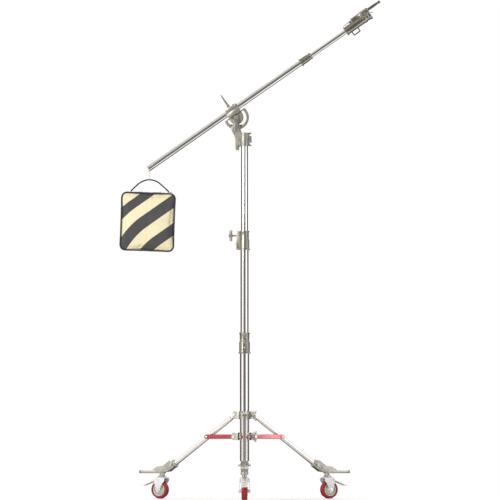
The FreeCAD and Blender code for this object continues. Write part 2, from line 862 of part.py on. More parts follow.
def caster_fork(leg, azimuth):
    """A pressed fork with a domed bearing housing on its crown."""
    name = f"fork_{leg}"
    dome = lathe(
        name + "_dome",
        [
            ("stem_radius + fit_gap", "fork_low"),
            ("fork_half - 1", "fork_low"),
            ("fork_half", "fork_low + 1"),
            ("fork_half", "fork_low + 3"),
            ("fork_half - 4", "fork_low + 8"),
            ("stem_cup_radius + 2", "fork_dome_high"),
            ("stem_neck_radius + 0.3", "fork_dome_high"),
            ("stem_neck_radius + 0.3", "fork_low + 4"),
            ("stem_radius + fit_gap", "fork_low + 4"),
        ],
        ("stem_out", "0", "0"),
    )
    cheeks = []
    for side, centre in (("near", "-(fork_half) + fork_plate / 2"), ("far", "fork_half - fork_plate / 2")):
        blade = plate(
            f"{name}_{side}_blade",
            [
                ("fork_back", "fork_low + 4"),
                ("fork_back", "fork_low - 14"),
                ("wheel_out - 28", "wheel_radius + 34"),
                ("wheel_out - fork_eye_radius", "wheel_radius + 4"),
                ("wheel_out - fork_eye_radius + 1", "wheel_radius"),
                ("wheel_out + fork_eye_radius - 1", "wheel_radius"),
                ("wheel_out + fork_eye_radius", "wheel_radius + 4"),
                ("fork_front + 7", "pedal_pivot_up - 6"),
                ("fork_front + 7", "pedal_pivot_up + 5"),
                ("fork_front", "fork_low + 4"),
            ],
            "fork_plate",
            ("0", centre, "0"),
        )
        eye = cylinder(
            f"{name}_{side}_eye", "fork_eye_radius", "fork_plate",
            ("wheel_out", f"{centre} - fork_plate / 2", "wheel_radius"), ALONG_Y,
        )
        cheeks += [blade, eye]
    crown = box(name + "_crown", ("fork_back", "fork_front"), both_sides("fork_half"),
                ("fork_low", "fork_low + 4"))
    body = fuse(name + "_body", crown, dome, *cheeks)
    stem = cylinder(name + "_stem_bore", "stem_radius + fit_gap", "30", ("stem_out", "0", "fork_low - 5"))
    bearing = cylinder(name + "_bearing_bore", "stem_neck_radius + 0.3", "20",
                       ("stem_out", "0", "fork_low + 4"))
    axle = cylinder(name + "_axle_hole", "axle_radius + seat_gap", "2 * fork_half + 4",
                    ("wheel_out", "-(fork_half) - 2", "wheel_radius"), ALONG_Y)
    pedal = cylinder(name + "_pedal_hole", "pedal_pin_radius + fit_gap", "2 * fork_half + 4",
                     ("pedal_pivot_out", "-(fork_half) - 2", "pedal_pivot_up"), ALONG_Y)
    seat(cut(name, body, stem, bearing, axle, pedal), f"{leg}_caster_fork", azimuth=azimuth)


def caster_axle(leg, azimuth):
    """The wheel's axle bolt and its two hexagon-sized nuts."""
    name = f"axle_{leg}"
    inner = "fork_half + seat_gap"
    bolt = lathe(
        name,
        [
            ("0", "-(nut_reach)"),
            ("nut_radius - 1", "-(nut_reach)"),
            ("nut_radius", "1 - nut_reach"),
            ("nut_radius", f"-({inner})"),
            ("axle_radius", f"-({inner})"),
            ("axle_radius", inner),
            ("nut_radius", inner),
            ("nut_radius", "nut_reach - 1"),
            ("nut_radius - 1", "nut_reach"),
            ("0", "nut_reach"),
        ],
        ("wheel_out", "0", "wheel_radius"),
        ALONG_Y,
    )
    seat(group(name + "_set", bolt), f"{leg}_caster_axle", azimuth=azimuth)


def mirrored(outline):
    """An outline's corners at positive heights, followed by their mirror image below."""
    return [(radius, up) for radius, up in outline] + [
        (radius, f"-({up})") for radius, up in reversed(outline)
    ]


def wheel(leg, azimuth):
    """The wheel in two pieces: a dished metal hub and the red tyre around it."""
    tyre = lathe(
        f"tyre_{leg}",
        mirrored([
            ("rim_radius + seat_gap", "wheel_half - 1"),
            ("rim_radius + 3", "wheel_half"),
            ("wheel_radius - 5", "wheel_half"),
            ("wheel_radius - 1.6", "wheel_half - 2.4"),
            ("wheel_radius", "wheel_half - 6"),
        ]),
        ("wheel_out", "0", "wheel_radius"),
        ALONG_Y,
    )
    hub = lathe(
        f"hub_{leg}",
        mirrored([
            ("axle_radius + fit_gap", "fork_half - fork_plate - 0.4"),
            ("axle_radius + 5", "fork_half - fork_plate - 0.4"),
            ("axle_radius + 5", "wheel_half - 1"),
            ("rim_radius - 16", "wheel_half - 1.5"),
            ("rim_radius - 13", "wheel_half - 7"),
            ("rim_radius - 7", "wheel_half - 7"),
            ("rim_radius - 4", "wheel_half - 2"),
            ("rim_radius", "wheel_half - 1.5"),
        ]),
        ("wheel_out", "0", "wheel_radius"),
        ALONG_Y,
    )
    seat(group(f"tyre_{leg}_ring", tyre), f"{leg}_tyre", azimuth=azimuth)
    seat(group(f"hub_{leg}_disc", hub), f"{leg}_wheel_hub", azimuth=azimuth)


def brake_pedal(leg, azimuth):
    """A foot pedal bent over the wheel, on its own pin through the fork."""
    name = f"pedal_{leg}"
    tread = plate(
        name + "_tread",
        [
            ("pedal_pivot_out + 3", "pedal_pivot_up - 3"),
            ("583", "92.5"), ("606", "83"), ("634", "72"), ("647", "72.5"),
            ("647", "72.5 + pedal_thick"), ("635", "72 + pedal_thick"),
            ("607", "83.5 + pedal_thick"), ("584", "93 + pedal_thick"),
            ("pedal_pivot_out + 3", "pedal_pivot_up + 1"),
        ],
        "2 * pedal_half",
    )
    barrel = cylinder(name + "_barrel", "pedal_barrel_radius", "2 * pedal_half",
                      ("pedal_pivot_out", "-(pedal_half)", "pedal_pivot_up"), ALONG_Y)
    pin = cylinder(name + "_pin", "pedal_pin_radius", "2 * fork_half + 2",
                   ("pedal_pivot_out", "-(fork_half) - 1", "pedal_pivot_up"), ALONG_Y)
    seat(fuse(name, tread, barrel, pin), f"{leg}_brake_pedal", azimuth=azimuth)


for leg_name, leg_azimuth in LEGS.items():
    for build in (leg_tube, brace, foot, foot_hardware, caster_fork, caster_axle, wheel, brake_pedal):
        build(leg_name, leg_azimuth)

# ---------------------------------------------------------------- tilt head


def tilt_head():
    """The sleeve on the upper tube with its side bracket, lock lug and twin cheeks."""
    sleeve = lathe(
        "head_sleeve",
        [
            ("tube_3_radius + slide_gap", "sleeve_low"),
            ("sleeve_radius - 1", "sleeve_low"),
            ("sleeve_radius", "sleeve_low + 1"),
            ("sleeve_radius", "sleeve_high - 1"),
            ("sleeve_radius - 1", "sleeve_high"),
            ("tube_3_radius + slide_gap", "sleeve_high"),
        ],
    )
    arm = plate(
        "head_arm",
        [
            ("-58", "2098"), ("-62", "2076"), ("-64.5", "2058"), ("-75", "2045"), ("-70.5", "2024"),
            ("-59.5", "2005"), ("-52", "1985"), ("-52", "1962"), ("-49", "1920"), ("-30", "1920"),
            ("-29", "1936"), ("-16", "sleeve_low + 2"), ("-15", "sleeve_high - 1"), ("-21.5", "2034"),
            ("-21.5", "2050"), ("-28.5", "2064"), ("-31", "2088"), ("-31", "2098"),
        ],
        "2 * cheek_outer",
    )
    eye = cylinder("head_eye", "cheek_eye", "2 * cheek_outer",
                   ("pivot_x", "-(cheek_outer)", "pivot_z"), ALONG_Y)
    boss = cylinder("head_boss", "slot_bolt_radius + 5", "2 * cheek_outer + 2",
                    ("pivot_x", "-(cheek_outer) - 1", "pivot_z - slot_bolt_drop"), ALONG_Y)
    lug = box("head_lug", ("15", "lug_end"), both_sides("lug_half"), ("sleeve_low", "sleeve_high"))
    lips = [
        box(f"head_lip_{index}", ("15", "lug_flange_end"), both_sides("lug_half + 1"), spans)
        for index, spans in enumerate((
            ("sleeve_low", "sleeve_low + lug_flange"),
            ("sleeve_high - lug_flange", "sleeve_high"),
        ))
    ]
    body = fuse("head_body", sleeve, arm, eye, boss, lug, *lips)
    bore = cylinder("head_bore", "tube_3_radius + slide_gap", "120", ("0", "0", "sleeve_low - 40"))
    gap = box("head_gap", ("-120", "10"), both_sides("cheek_inner"),
              ("pivot_z - sector_radius - 2", "pivot_z + 30"))
    pivot = cylinder("head_pivot_hole", "pivot_bolt_radius + seat_gap", "60",
                     ("pivot_x", "-30", "pivot_z"), ALONG_Y)
    slot = cylinder("head_slot_hole", "slot_bolt_radius + seat_gap", "60",
                    ("pivot_x", "-30", "pivot_z - slot_bolt_drop"), ALONG_Y)
    thread = cylinder("head_thread", "knob_stem_radius + fit_gap", "40",
                      ("15", "0", "(sleeve_low + sleeve_high) / 2"), ALONG_X)
    node(cut("head", body, bore, gap, pivot, slot, thread), "tilt_head_bracket")


def head_bolt(name, radius, head, front, back, up):
    """A bolt along Y: its head in front, its end behind."""
    reach = f"{front} + bolt_head_height"
    return lathe(
        name,
        [
            ("0", f"-({back})"),
            (radius, f"-({back})"),
            (radius, f"{front} + seat_gap"),
            (head, f"{front} + seat_gap"),
            (head, f"{reach} - 1"),
            (f"{head} - 1", reach),
            ("3", reach),
            ("3", f"{reach} - 3"),
            ("0", f"{reach} - 3"),
        ],
        ("pivot_x", "0", up),
        ALONG_MINUS_Y,
    )


tilt_head()
pivot_bolt = head_bolt("pivot_bolt", "pivot_bolt_radius", "pivot_head_radius",
    "cheek_outer", "cheek_outer + 8",
                       "pivot_z")
pivot_nut = cut(
    "pivot_nut",
    cylinder("pivot_nut_body", "pivot_head_radius", "7",
             ("pivot_x", "cheek_outer + seat_gap", "pivot_z"), ALONG_Y),
    cylinder("pivot_nut_hole", "pivot_bolt_radius + seat_gap", "12",
             ("pivot_x", "cheek_outer - 1", "pivot_z"),
             ALONG_Y),
)
slot_bolt = head_bolt("slot_bolt", "slot_bolt_radius", "slot_bolt_radius + 3", "cheek_outer + 1",
                      "cheek_outer + 14", "pivot_z - slot_bolt_drop")
node(group("head_bolt_set", pivot_bolt, pivot_nut, slot_bolt), "tilt_head_bolts")


def tilt_handle():
    """The T-handle behind the bracket that tightens the slot bolt."""
    start = "cheek_outer + 1.3"
    hub = lathe(
        "tilt_handle_hub",
        [
            ("slot_bolt_radius + fit_gap", start),
            ("13", start),
            ("11", "cheek_outer + 12"),
            ("11", "cheek_outer + 30"),
            ("8", "cheek_outer + 34"),
            ("0", "cheek_outer + 34"),
            ("0", "cheek_outer + 15"),
            ("slot_bolt_radius + fit_gap", "cheek_outer + 15"),
        ],
        turn=ALONG_Y,
    )
    arm = lathe(
        "tilt_handle_arm",
        mirrored([("0", "42"), ("5.5", "42"), ("7", "40"), ("7", "24"), ("5.5", "20")]),
        ("0", "cheek_outer + 24", "0"),
        ALONG_X,
    )
    handle = place(fuse("tilt_handle", hub, arm), ("pivot_x", "0", "pivot_z - slot_bolt_drop"))
    node(handle, "tilt_lock_handle")


def head_knob():
    """The thumb wheel that locks the sleeve on the upper tube."""
    wheel_start = "lug_end + 0.4"
    knob = lathe(
        "head_knob",
        [
            ("0", "tube_3_radius + slide_gap"),
            ("knob_stem_radius", "tube_3_radius + slide_gap"),
            ("knob_stem_radius", wheel_start),
            ("16", wheel_start),
            ("17.5", "lug_end + 2"),
            ("17.5", "lug_end + 8"),
            ("15.5", "lug_end + 10"),
            ("0", "lug_end + 10"),
        ],
        ("0", "0", "(sleeve_low + sleeve_high) / 2"),
        ALONG_X,
    )
    node(group("head_knob_wheel", knob), "sleeve_lock_knob")


tilt_handle()
head_knob()

# ---------------------------------------------------------------- boom clamp and boom
# Built level, with X along the boom and Z from the pivot towards the boom, then turned
# to the boom's angle about the pivot.


def on_boom(item, label):
    """Turns a finished sub-part from the level frame to the boom's angle at the pivot."""
    item.Placement = FreeCAD.Placement(
        Vector(), FreeCAD.Rotation(Vector(0, -1, 0), size("boom_angle"))
    )
    item.setExpression("Placement.Rotation.Angle", ex("boom_angle"))
    item.setExpression("Placement.Base.x", ex("pivot_x"))
    item.setExpression("Placement.Base.z", ex("pivot_z"))
    return node(item, label)


BOOM_BORE = "boom_outer_radius + slide_gap"


def clamp_bolts_at():
    """The four bolt positions: along the boom and to its sides."""
    for along in ("clamp_start + clamp_bolt_inset", "clamp_end - clamp_bolt_inset"):
        for side in ("-(clamp_bolt_side)", "clamp_bolt_side"):
            yield along, side


def bolt_holes(name):
    return [
        cylinder(f"{name}_{index}", "clamp_bolt_radius + seat_gap", "120", (along, side, "0"))
        for index, (along, side) in enumerate(clamp_bolts_at())
    ]


def sector_clamp():
    """The slotted sector plate, cast in one piece with the lower half of the clamp."""
    disc = cylinder("sector_disc", "sector_radius", "2 * sector_half",
                    ("0", "-(sector_half)", "0"), ALONG_Y)
    flat = box("sector_flat_cut", both_sides("sector_radius + 1"), both_sides("sector_half + 1"),
               ("sector_flat", "sector_radius + 1"))
    ring = cut(
        "slot_ring",
        cylinder("slot_outer_disc", "slot_outer", "2 * sector_half + 2",
                 ("0", "-(sector_half) - 1", "0"), ALONG_Y),
        cylinder("slot_inner_disc", "slot_inner", "2 * sector_half + 4",
                 ("0", "-(sector_half) - 2", "0"), ALONG_Y),
        box("slot_upper_cut", both_sides("slot_outer + 2"), both_sides("sector_half + 3"),
            ("-(slot_outer) * cos(slot_sweep) * slot_inner / slot_outer", "slot_outer + 2")),
    )
    middle = "(slot_inner + slot_outer) / 2"
    ends = [
        cylinder(f"slot_end_{index}", "(slot_outer - slot_inner) / 2", "2 * sector_half + 2",
                 (f"{sign} * {middle} * sin(slot_sweep)", "-(sector_half) - 1",
                  f"-{middle} * cos(slot_sweep)"),
                 ALONG_Y)
        for index, sign in enumerate(("1", "-1"))
    ]
    pivot = cylinder("sector_pivot_hole", "pivot_bolt_radius + fit_gap", "40", ("0", "-20", "0"), ALONG_Y)
    sector = cut("sector", disc, flat, ring, *ends, pivot)
    web = box("clamp_web", ("clamp_start + 10", "clamp_end - 6"), both_sides("sector_half"),
              ("sector_flat - 4", "clamp_low + 12"))
    base = plate(
        "clamp_base",
        [
            ("clamp_start + 4", "clamp_low"),
            ("clamp_end - 4", "clamp_low"),
            ("clamp_end", "clamp_low + 5"),
            ("clamp_end", "clamp_split"),
            ("clamp_start", "clamp_split"),
            ("clamp_start", "clamp_low + 5"),
        ],
        "2 * clamp_half",
    )
    bore = cylinder("clamp_base_bore", BOOM_BORE, "200", ("-100", "0", "boom_offset"), ALONG_X)
    on_boom(cut("clamp", fuse("clamp_body", sector, web, base), bore, *bolt_holes("base_hole")),
            "sector_and_clamp_base")


def clamp_cap():
    """The clamp's upper half: a crowned block with two ears for the cam lever."""
    block = plate(
        "cap_block",
        [
            ("clamp_start", "clamp_split + 1"),
            ("clamp_end", "clamp_split + 1"),
            ("clamp_end", "clamp_high - 5"),
            ("clamp_end - 6", "clamp_high + 3"),
            ("clamp_end - 22", "clamp_high + 5"),
            ("lever_at + 10", "clamp_high"),
            ("lever_at - 12", "clamp_high"),
            ("clamp_start + 9", "clamp_high"),
            ("clamp_start", "clamp_high - 9"),
        ],
        "2 * clamp_half",
    )
    ears = [
        plate(
            f"cap_ear_{index}",
            [
                ("lever_at - 11", "clamp_high - 3"),
                ("lever_at + 11", "clamp_high - 3"),
                ("lever_at + 7", "lever_axis_up + 6"),
                ("lever_at - 7", "lever_axis_up + 6"),
            ],
            "lever_ear_outer - lever_ear_inner",
            ("0", f"{sign} * (lever_ear_inner + lever_ear_outer) / 2", "0"),
        )
        for index, sign in enumerate(("-1", "1"))
    ]
    bore = cylinder("cap_bore", BOOM_BORE, "200", ("-100", "0", "boom_offset"), ALONG_X)
    relief = cylinder("cap_relief", "lever_hub_radius + 0.5", "2 * lever_ear_inner",
                      ("lever_at", "-(lever_ear_inner)", "lever_axis_up"), ALONG_Y)
    pin = cylinder("cap_pin_hole", "3 + fit_gap", "40", ("lever_at", "-20", "lever_axis_up"), ALONG_Y)
    wells = [
        cylinder(f"cap_well_{index}", "clamp_bolt_radius + 3.5", "40", (along, side, "clamp_high - 7"))
        for index, (along, side) in enumerate(clamp_bolts_at())
    ]
    on_boom(cut("cap", fuse("cap_body", block, *ears), bore, relief, pin, *wells, *bolt_holes("cap_hole")),
            "clamp_cap")


def clamp_bolts():
    """Four socket screws that hold the clamp's halves together."""
    bolts = [
        lathe(
            f"clamp_bolt_{index}",
            [
                ("0", "clamp_low + 3"),
                ("clamp_bolt_radius", "clamp_low + 3"),
                ("clamp_bolt_radius", "clamp_high - 7 + seat_gap"),
                ("clamp_bolt_radius + 3", "clamp_high - 7 + seat_gap"),
                ("clamp_bolt_radius + 3", "clamp_high - 1"),
                ("clamp_bolt_radius + 2", "clamp_high"),
                ("2.2", "clamp_high"),
                ("2.2", "clamp_high - 3"),
                ("0", "clamp_high - 3"),
            ],
            (along, side, "0"),
        )
        for index, (along, side) in enumerate(clamp_bolts_at())
    ]
    on_boom(group("clamp_bolt_set", *bolts), "clamp_bolts")


def clamp_lever():
    """The tapered cam lever with its hub and cross pin."""
    hub = cylinder("lever_hub", "lever_hub_radius", "2 * lever_hub_half",
                   ("lever_at", "-(lever_hub_half)", "lever_axis_up"), ALONG_Y)
    pin = cylinder("lever_pin", "3", "2 * lever_ear_outer + 1",
                   ("lever_at", "-(lever_ear_outer) - 0.5", "lever_axis_up"), ALONG_Y)
    rod = lathe(
        "lever_rod",
        [
            ("0", "lever_axis_up"),
            ("lever_root_radius", "lever_axis_up"),
            ("lever_root_radius", "lever_axis_up + 14"),
            ("lever_tip_radius", "lever_tip_up - 2.5"),
            ("lever_tip_radius - 1.3", "lever_tip_up"),
            ("0", "lever_tip_up"),
        ],
        ("lever_at", "0", "0"),
    )
    on_boom(fuse("lever", hub, pin, rod), "clamp_lever")


def boom_tube(name, label, radius, wall, start, end):
    inner = f"{radius} - {wall}"
    body = lathe(name, [(inner, start), (radius, start), (radius, end), (inner, end)],
                 ("0", "0", "boom_offset"), ALONG_X)
    on_boom(group(name + "_run", body), label)


def tail_plug():
    """The plastic plug in the boom's tail, with the lug that carries the hook."""
    plug = lathe(
        "plug_turned",
        [
            ("0", "boom_tail - tail_cap"),
            ("boom_outer_radius - 2", "boom_tail - tail_cap"),
            ("boom_outer_radius", "boom_tail - tail_cap + 2"),
            ("boom_outer_radius", "boom_tail - seat_gap"),
            ("boom_outer_radius - boom_outer_wall - seat_gap", "boom_tail - seat_gap"),
            ("boom_outer_radius - boom_outer_wall - seat_gap", "boom_tail + tail_spigot"),
            ("0", "boom_tail + tail_spigot"),
        ],
        ("0", "0", "boom_offset"),
        ALONG_X,
    )
    lug = plate(
        "plug_lug",
        [
            ("hook_eye_along - 6", "boom_offset - hook_eye_drop - 6"),
            ("hook_eye_along + 5.5", "boom_offset - hook_eye_drop - 6"),
            ("hook_eye_along + 6.5", "boom_offset - boom_outer_radius + 2"),
            ("hook_eye_along + 1", "boom_offset - boom_outer_radius + 6"),
            ("hook_eye_along - 1", "boom_offset - boom_outer_radius + 6"),
            ("hook_eye_along - 6", "boom_offset - boom_outer_radius - 1"),
        ],
        "2 * hook_lug_half",
    )
    hole = cylinder("plug_hook_hole", "hook_wire + fit_gap", "20",
                    ("hook_eye_along", "-10", "boom_offset - hook_eye_drop"), ALONG_Y)
    on_boom(cut("plug", fuse("plug_body", plug, lug), hole), "boom_tail_plug")


def boom_sleeve():
    """The collar at the outer tube's end, through which the inner tube slides."""
    turned = lathe(
        "sleeve_turned",
        [
            ("boom_outer_radius + seat_gap", "boom_sleeve_start"),
            ("boom_sleeve_radius + 2", "boom_sleeve_start"),
            ("boom_sleeve_radius + 3", "boom_sleeve_start + 1"),
            ("boom_sleeve_radius + 3", "boom_sleeve_start + 6"),
            ("boom_sleeve_radius", "boom_sleeve_start + 9"),
            ("boom_sleeve_radius", "boom_sleeve_end - 22"),
            ("boom_sleeve_radius - 2", "boom_sleeve_end - 20"),
            ("boom_sleeve_radius - 2", "boom_sleeve_end - 6"),
            ("boom_sleeve_radius", "boom_sleeve_end - 4"),
            ("boom_sleeve_radius - 1", "boom_sleeve_end"),
            ("boom_inner_radius + slide_gap", "boom_sleeve_end"),
            ("boom_inner_radius + slide_gap", "boom_outer_end + 0.5"),
            ("boom_outer_radius + seat_gap", "boom_outer_end + 0.5"),
        ],
        ("0", "0", "boom_offset"),
        ALONG_X,
    )
    boss = cylinder("sleeve_boss", "8", "27", ("boom_outer_end + 16", "0", "boom_offset"), ALONG_Y)
    thread = cylinder("sleeve_thread", "knob_stem_radius + fit_gap", "40",
                      ("boom_outer_end + 16", "0", "boom_offset"), ALONG_Y)
    bore = cylinder("sleeve_bore", "boom_inner_radius + slide_gap", "40",
                    ("boom_outer_end + 0.5", "0", "boom_offset"), ALONG_X)
    on_boom(cut("boom_collar", fuse("boom_collar_body", turned, boss), thread, bore), "boom_sleeve_collar")


def boom_knob():
    """The small T-screw behind the sleeve collar."""
    stem = lathe(
        "boom_knob_stem",
        [
            ("0", "boom_inner_radius + slide_gap"),
            ("knob_stem_radius", "boom_inner_radius + slide_gap"),
            ("knob_stem_radius", "34"),
            ("8", "36"),
            ("8", "50"),
            ("5", "53"),
            ("0", "53"),
        ],
        turn=ALONG_Y,
    )
    arm = lathe(
        "boom_knob_arm",
        mirrored([("0", "24"), ("4.5", "24"), ("6", "22.5"), ("6", "13"), ("5", "11")]),
        ("0", "44", "0"),
        ALONG_X,
    )
    knob = place(fuse("boom_knob", stem, arm), ("boom_outer_end + 16", "0", "boom_offset"))
    on_boom(group("boom_knob_set", knob), "boom_lock_knob")


def boom_head():
    """The receiver socket and the pin holder above it, with the welded wire loop below."""
    socket = lathe(
        "socket_turned",
        [
            ("0", "socket_start"),
            ("socket_flange - 1", "socket_start"),
            ("socket_flange", "socket_start + 1"),
            ("socket_flange", "socket_start + 7"),
            ("socket_radius", "socket_start + 9"),
            ("socket_radius", "socket_end - 55"),
            ("socket_radius + 2", "socket_end - 42"),
            ("socket_radius + 2", "socket_end - 36"),
            ("socket_radius - 1.5", "socket_end - 28"),
            ("socket_radius - 1.5", "socket_end - 19"),
            ("socket_radius + 2.5", "socket_end - 13"),
            ("socket_radius + 2.5", "socket_end - 1"),
            ("socket_radius + 1.5", "socket_end"),
            ("0", "socket_end"),
        ],
        ("0", "0", "boom_offset"),
        ALONG_X,
    )
    holder = lathe(
        "holder_turned",
        [
            ("0", "holder_start"),
            ("holder_radius", "holder_start"),
            ("holder_radius", "holder_start + 4"),
            ("holder_radius - 2", "holder_start + 6"),
            ("holder_radius - 2", "holder_start + 52"),
            ("holder_radius", "holder_start + 56"),
            ("holder_radius", "holder_end - 2"),
            ("holder_radius - 2", "holder_end"),
            ("0", "holder_end"),
        ],
        ("0", "0", "boom_offset + holder_rise"),
        ALONG_X,
    )
    web = box("head_web", ("holder_start", "holder_end - 6"), both_sides("holder_radius - 5"),
              ("boom_offset + 10", "boom_offset + holder_rise"))
    tube_bore = cylinder("head_tube_bore", "boom_inner_radius + seat_gap",
                         "boom_inner_end - socket_start + 1.5",
                         ("socket_start - 1", "0", "boom_offset"), ALONG_X)
    socket_bore = cylinder("head_socket_bore", "socket_bore", "socket_end - socket_floor + 5",
                           ("socket_floor", "0", "boom_offset"), ALONG_X)
    pin_bore = cylinder("head_pin_bore", "baby_pin_shank + seat_gap", "holder_end - baby_pin_start + 6",
                        ("baby_pin_start - 0.5", "0", "boom_offset + holder_rise"), ALONG_X)
    latch_hole = cylinder("head_latch_hole", "2.5 + fit_gap", "60",
                          ("latch_end", "-30", "boom_offset + socket_radius + 7"), ALONG_Y)
    ears = box("head_latch_ears", ("latch_end - 6", "holder_start + 2"), both_sides("9"),
               ("boom_offset + socket_radius - 4", "boom_offset + socket_radius + 11"))
    gap = box("head_latch_gap", ("latch_end - 8", "holder_start - 1"), both_sides("3.6"),
              ("boom_offset + socket_radius + 1", "boom_offset + socket_radius + 14"))
    loop = bent_wire(
        "loop_wire_run",
        [
            Vector(size("loop_start"), 0, size("boom_offset - socket_radius + 2")),
            Vector(size("loop_start"), 0, size("boom_offset - loop_drop")),
            Vector(size("loop_end"), 0, size("boom_offset - loop_drop")),
            Vector(size("loop_end"), 0, size("boom_offset - socket_radius + 2")),
        ],
        size("loop_wire"),
        4,
    )
    solid = cut("boom_head", fuse("boom_head_body", socket, holder, web, ears),
                tube_bore, socket_bore, pin_bore, latch_hole, gap)
    on_boom(fuse("boom_head_welded", solid, loop), "boom_head_casting")


def baby_pin():
    """The 16 mm pin with the groove that a fitting's screw bites into."""
    pin = lathe(
        "pin_turned",
        [
            ("0", "baby_pin_start"),
            ("baby_pin_shank", "baby_pin_start"),
            ("baby_pin_shank", "holder_end + 0.5"),
            ("baby_pin_radius", "holder_end + 0.5"),
            ("baby_pin_radius", "baby_pin_end - 28"),
            ("baby_pin_radius - 1.6", "baby_pin_end - 25"),
            ("baby_pin_radius - 1.6", "baby_pin_end - 14"),
            ("baby_pin_radius", "baby_pin_end - 11"),
            ("baby_pin_radius", "baby_pin_end - 1.5"),
            ("baby_pin_radius - 1.5", "baby_pin_end"),
            ("0", "baby_pin_end"),
        ],
        ("0", "0", "boom_offset + holder_rise"),
        ALONG_X,
    )
    on_boom(group("pin_run", pin), "boom_head_pin")


def pin_latch():
    """The thin spring-latch lever on the head's top."""
    up = "boom_offset + socket_radius + 7"
    eye = cylinder("latch_eye", "5", "6.4", ("latch_end", "-3.2", up), ALONG_Y)
    pin = cylinder("latch_pin", "2.5", "19", ("latch_end", "-9.5", up), ALONG_Y)
    rod = bent_wire(
        "latch_rod",
        [
            Vector(size("latch_end"), 0, size(up)),
            Vector(size("latch_end - 14"), 0, size(up) + 1.5),
            Vector(size("latch_start"), 0, size(up) - 1),
        ],
        2,
        6,
    )
    on_boom(fuse("latch", eye, pin, rod), "pin_latch_lever")


sector_clamp()
clamp_cap()
clamp_bolts()
clamp_lever()
boom_tube("outer_boom", "boom_outer_tube", "boom_outer_radius", "boom_outer_wall",
          "boom_tail", "boom_outer_end")
boom_tube("inner_boom", "boom_inner_tube", "boom_inner_radius", "boom_inner_wall", "boom_inner_start",
          "boom_inner_end")
tail_plug()
boom_sleeve()
boom_knob()
boom_head()
baby_pin()
pin_latch()

# ---------------------------------------------------------------- hook and sandbag


def hook_eye():
    """The hook's hinge point under the boom's tail, as (x, z)."""
    angle = math.radians(size("boom_angle"))
    along = size("hook_eye_along")
    out = size("boom_offset - hook_eye_drop")
    return (
        size("pivot_x") + along * math.cos(angle) - out * math.sin(angle),
        size("pivot_z") + along * math.sin(angle) + out * math.cos(angle),
    )


def hook():
    """A wire hook: a shackle through the plug's lug and a deep bend under the strap."""
    x, z = hook_eye()
    wire = size("hook_wire")
    low = size("strap_top - strap_thick") - wire - 0.6
    side = size("strap_width") / 2 + wire + 2
    wire_run = bent_wire(
        "hook",
        [
            Vector(x, 9, z - 13), Vector(x, 9, z), Vector(x, -9, z), Vector(x, -9, z - 13),
            Vector(x, -side, z - 25), Vector(x, -side, low), Vector(x, side, low),
            Vector(x, side, low + 20), Vector(x, side + 5, low + 27),
        ],
        wire,
        3.4,
    )
    node(wire_run, "bag_hook")


def rounded_block(name, width, depth, height, corner):
    """An upright block centred on its own origin, with four corners rounded about Y."""
    half, tall = f"({width}) / 2", f"({height}) / 2"
    thick = both_sides(f"({depth}) / 2")
    parts = [
        box(name + "_wide", both_sides(half), thick, both_sides(f"{tall} - ({corner})")),
        box(name + "_tall", both_sides(f"{half} - ({corner})"), thick, both_sides(tall)),
    ]
    for index, (across, up) in enumerate((("1", "1"), ("1", "-1"), ("-1", "1"), ("-1", "-1"))):
        parts.append(
            cylinder(f"{name}_corner_{index}", corner, depth,
                     (f"{across} * ({half} - ({corner}))", f"-({depth}) / 2",
                      f"{up} * ({tall} - ({corner}))"),
                     ALONG_Y)
        )
    return fuse(name, *parts)


BAG_MIDDLE = "(bag_low + bag_high) / 2"
BAG_AT = ("bag_x", "0", BAG_MIDDLE)


def sandbag():
    """The bag's sewn cover as a hollow block, with two sand pouches sealed inside it."""
    height = "bag_high - bag_low"
    cover = rounded_block("bag_cover", "bag_width", "bag_depth", height, "bag_corner")
    hollow = rounded_block("bag_hollow", "bag_width - 2 * bag_skin", "bag_depth - 2 * bag_skin",
                           f"{height} - 2 * bag_skin", "bag_corner - bag_skin")
    node(place(cut("bag", cover, hollow), BAG_AT, ("Y", "bag_tilt")), "sandbag")
    pouches = [
        place(
            rounded_block(f"pouch_{index}", "pouch_width", "pouch_depth", "pouch_height", "bag_corner"),
            (f"{sign} * (pouch_width / 2 + 3)", "0", "-20"),
        )
        for index, sign in enumerate(("-1", "1"))
    ]
    node(place(group("pouches", *pouches), BAG_AT, ("Y", "bag_tilt")), "sand_pouches")


def strap():
    """The webbing handle: one band that rises from the bag's top edge over the hook."""
    thick = size("strap_thick")
    top_x = hook_eye()[0]
    top_z = size("strap_top") - thick / 2
    centre = [
        Vector(-627.5, 0, 1695.5), Vector(-597, 0, 1722), Vector(-566, 0, 1745),
        Vector(top_x, 0, top_z),
        Vector(-482, 0, 1747), Vector(-450, 0, 1722), Vector(-414, 0, 1688),
    ]
    middle = Part.BSplineCurve()
    middle.interpolate(centre)
    first, last = middle.FirstParameter, middle.LastParameter
    rails = ([], [])
    for step in range(17):
        at = first + (last - first) * step / 16
        point = middle.value(at)
        along = Vector(*middle.tangent(at)[0])
        across = Vector(-along.z, 0, along.x).normalize() * (thick / 2)
        rails[0].append(point + across)
        rails[1].append(point - across)
    curves = []
    for rail in rails:
        curve = Part.BSplineCurve()
        curve.interpolate(rail)
        curves.append(curve.toShape())
    ends = [Part.LineSegment(rails[0][index], rails[1][index]).toShape() for index in (0, -1)]
    face = Part.Face(Part.Wire(Part.__sortEdges__([*curves, *ends])))
    width = size("strap_width")
    face.translate(Vector(0, -width / 2, 0))
    band = doc.addObject("Part::Feature", "strap_band")
    band.Shape = face.extrude(Vector(0, width, 0))
    node(band, "bag_handle")


hook()
sandbag()
strap()

# ---------------------------------------------------------------- checks and files

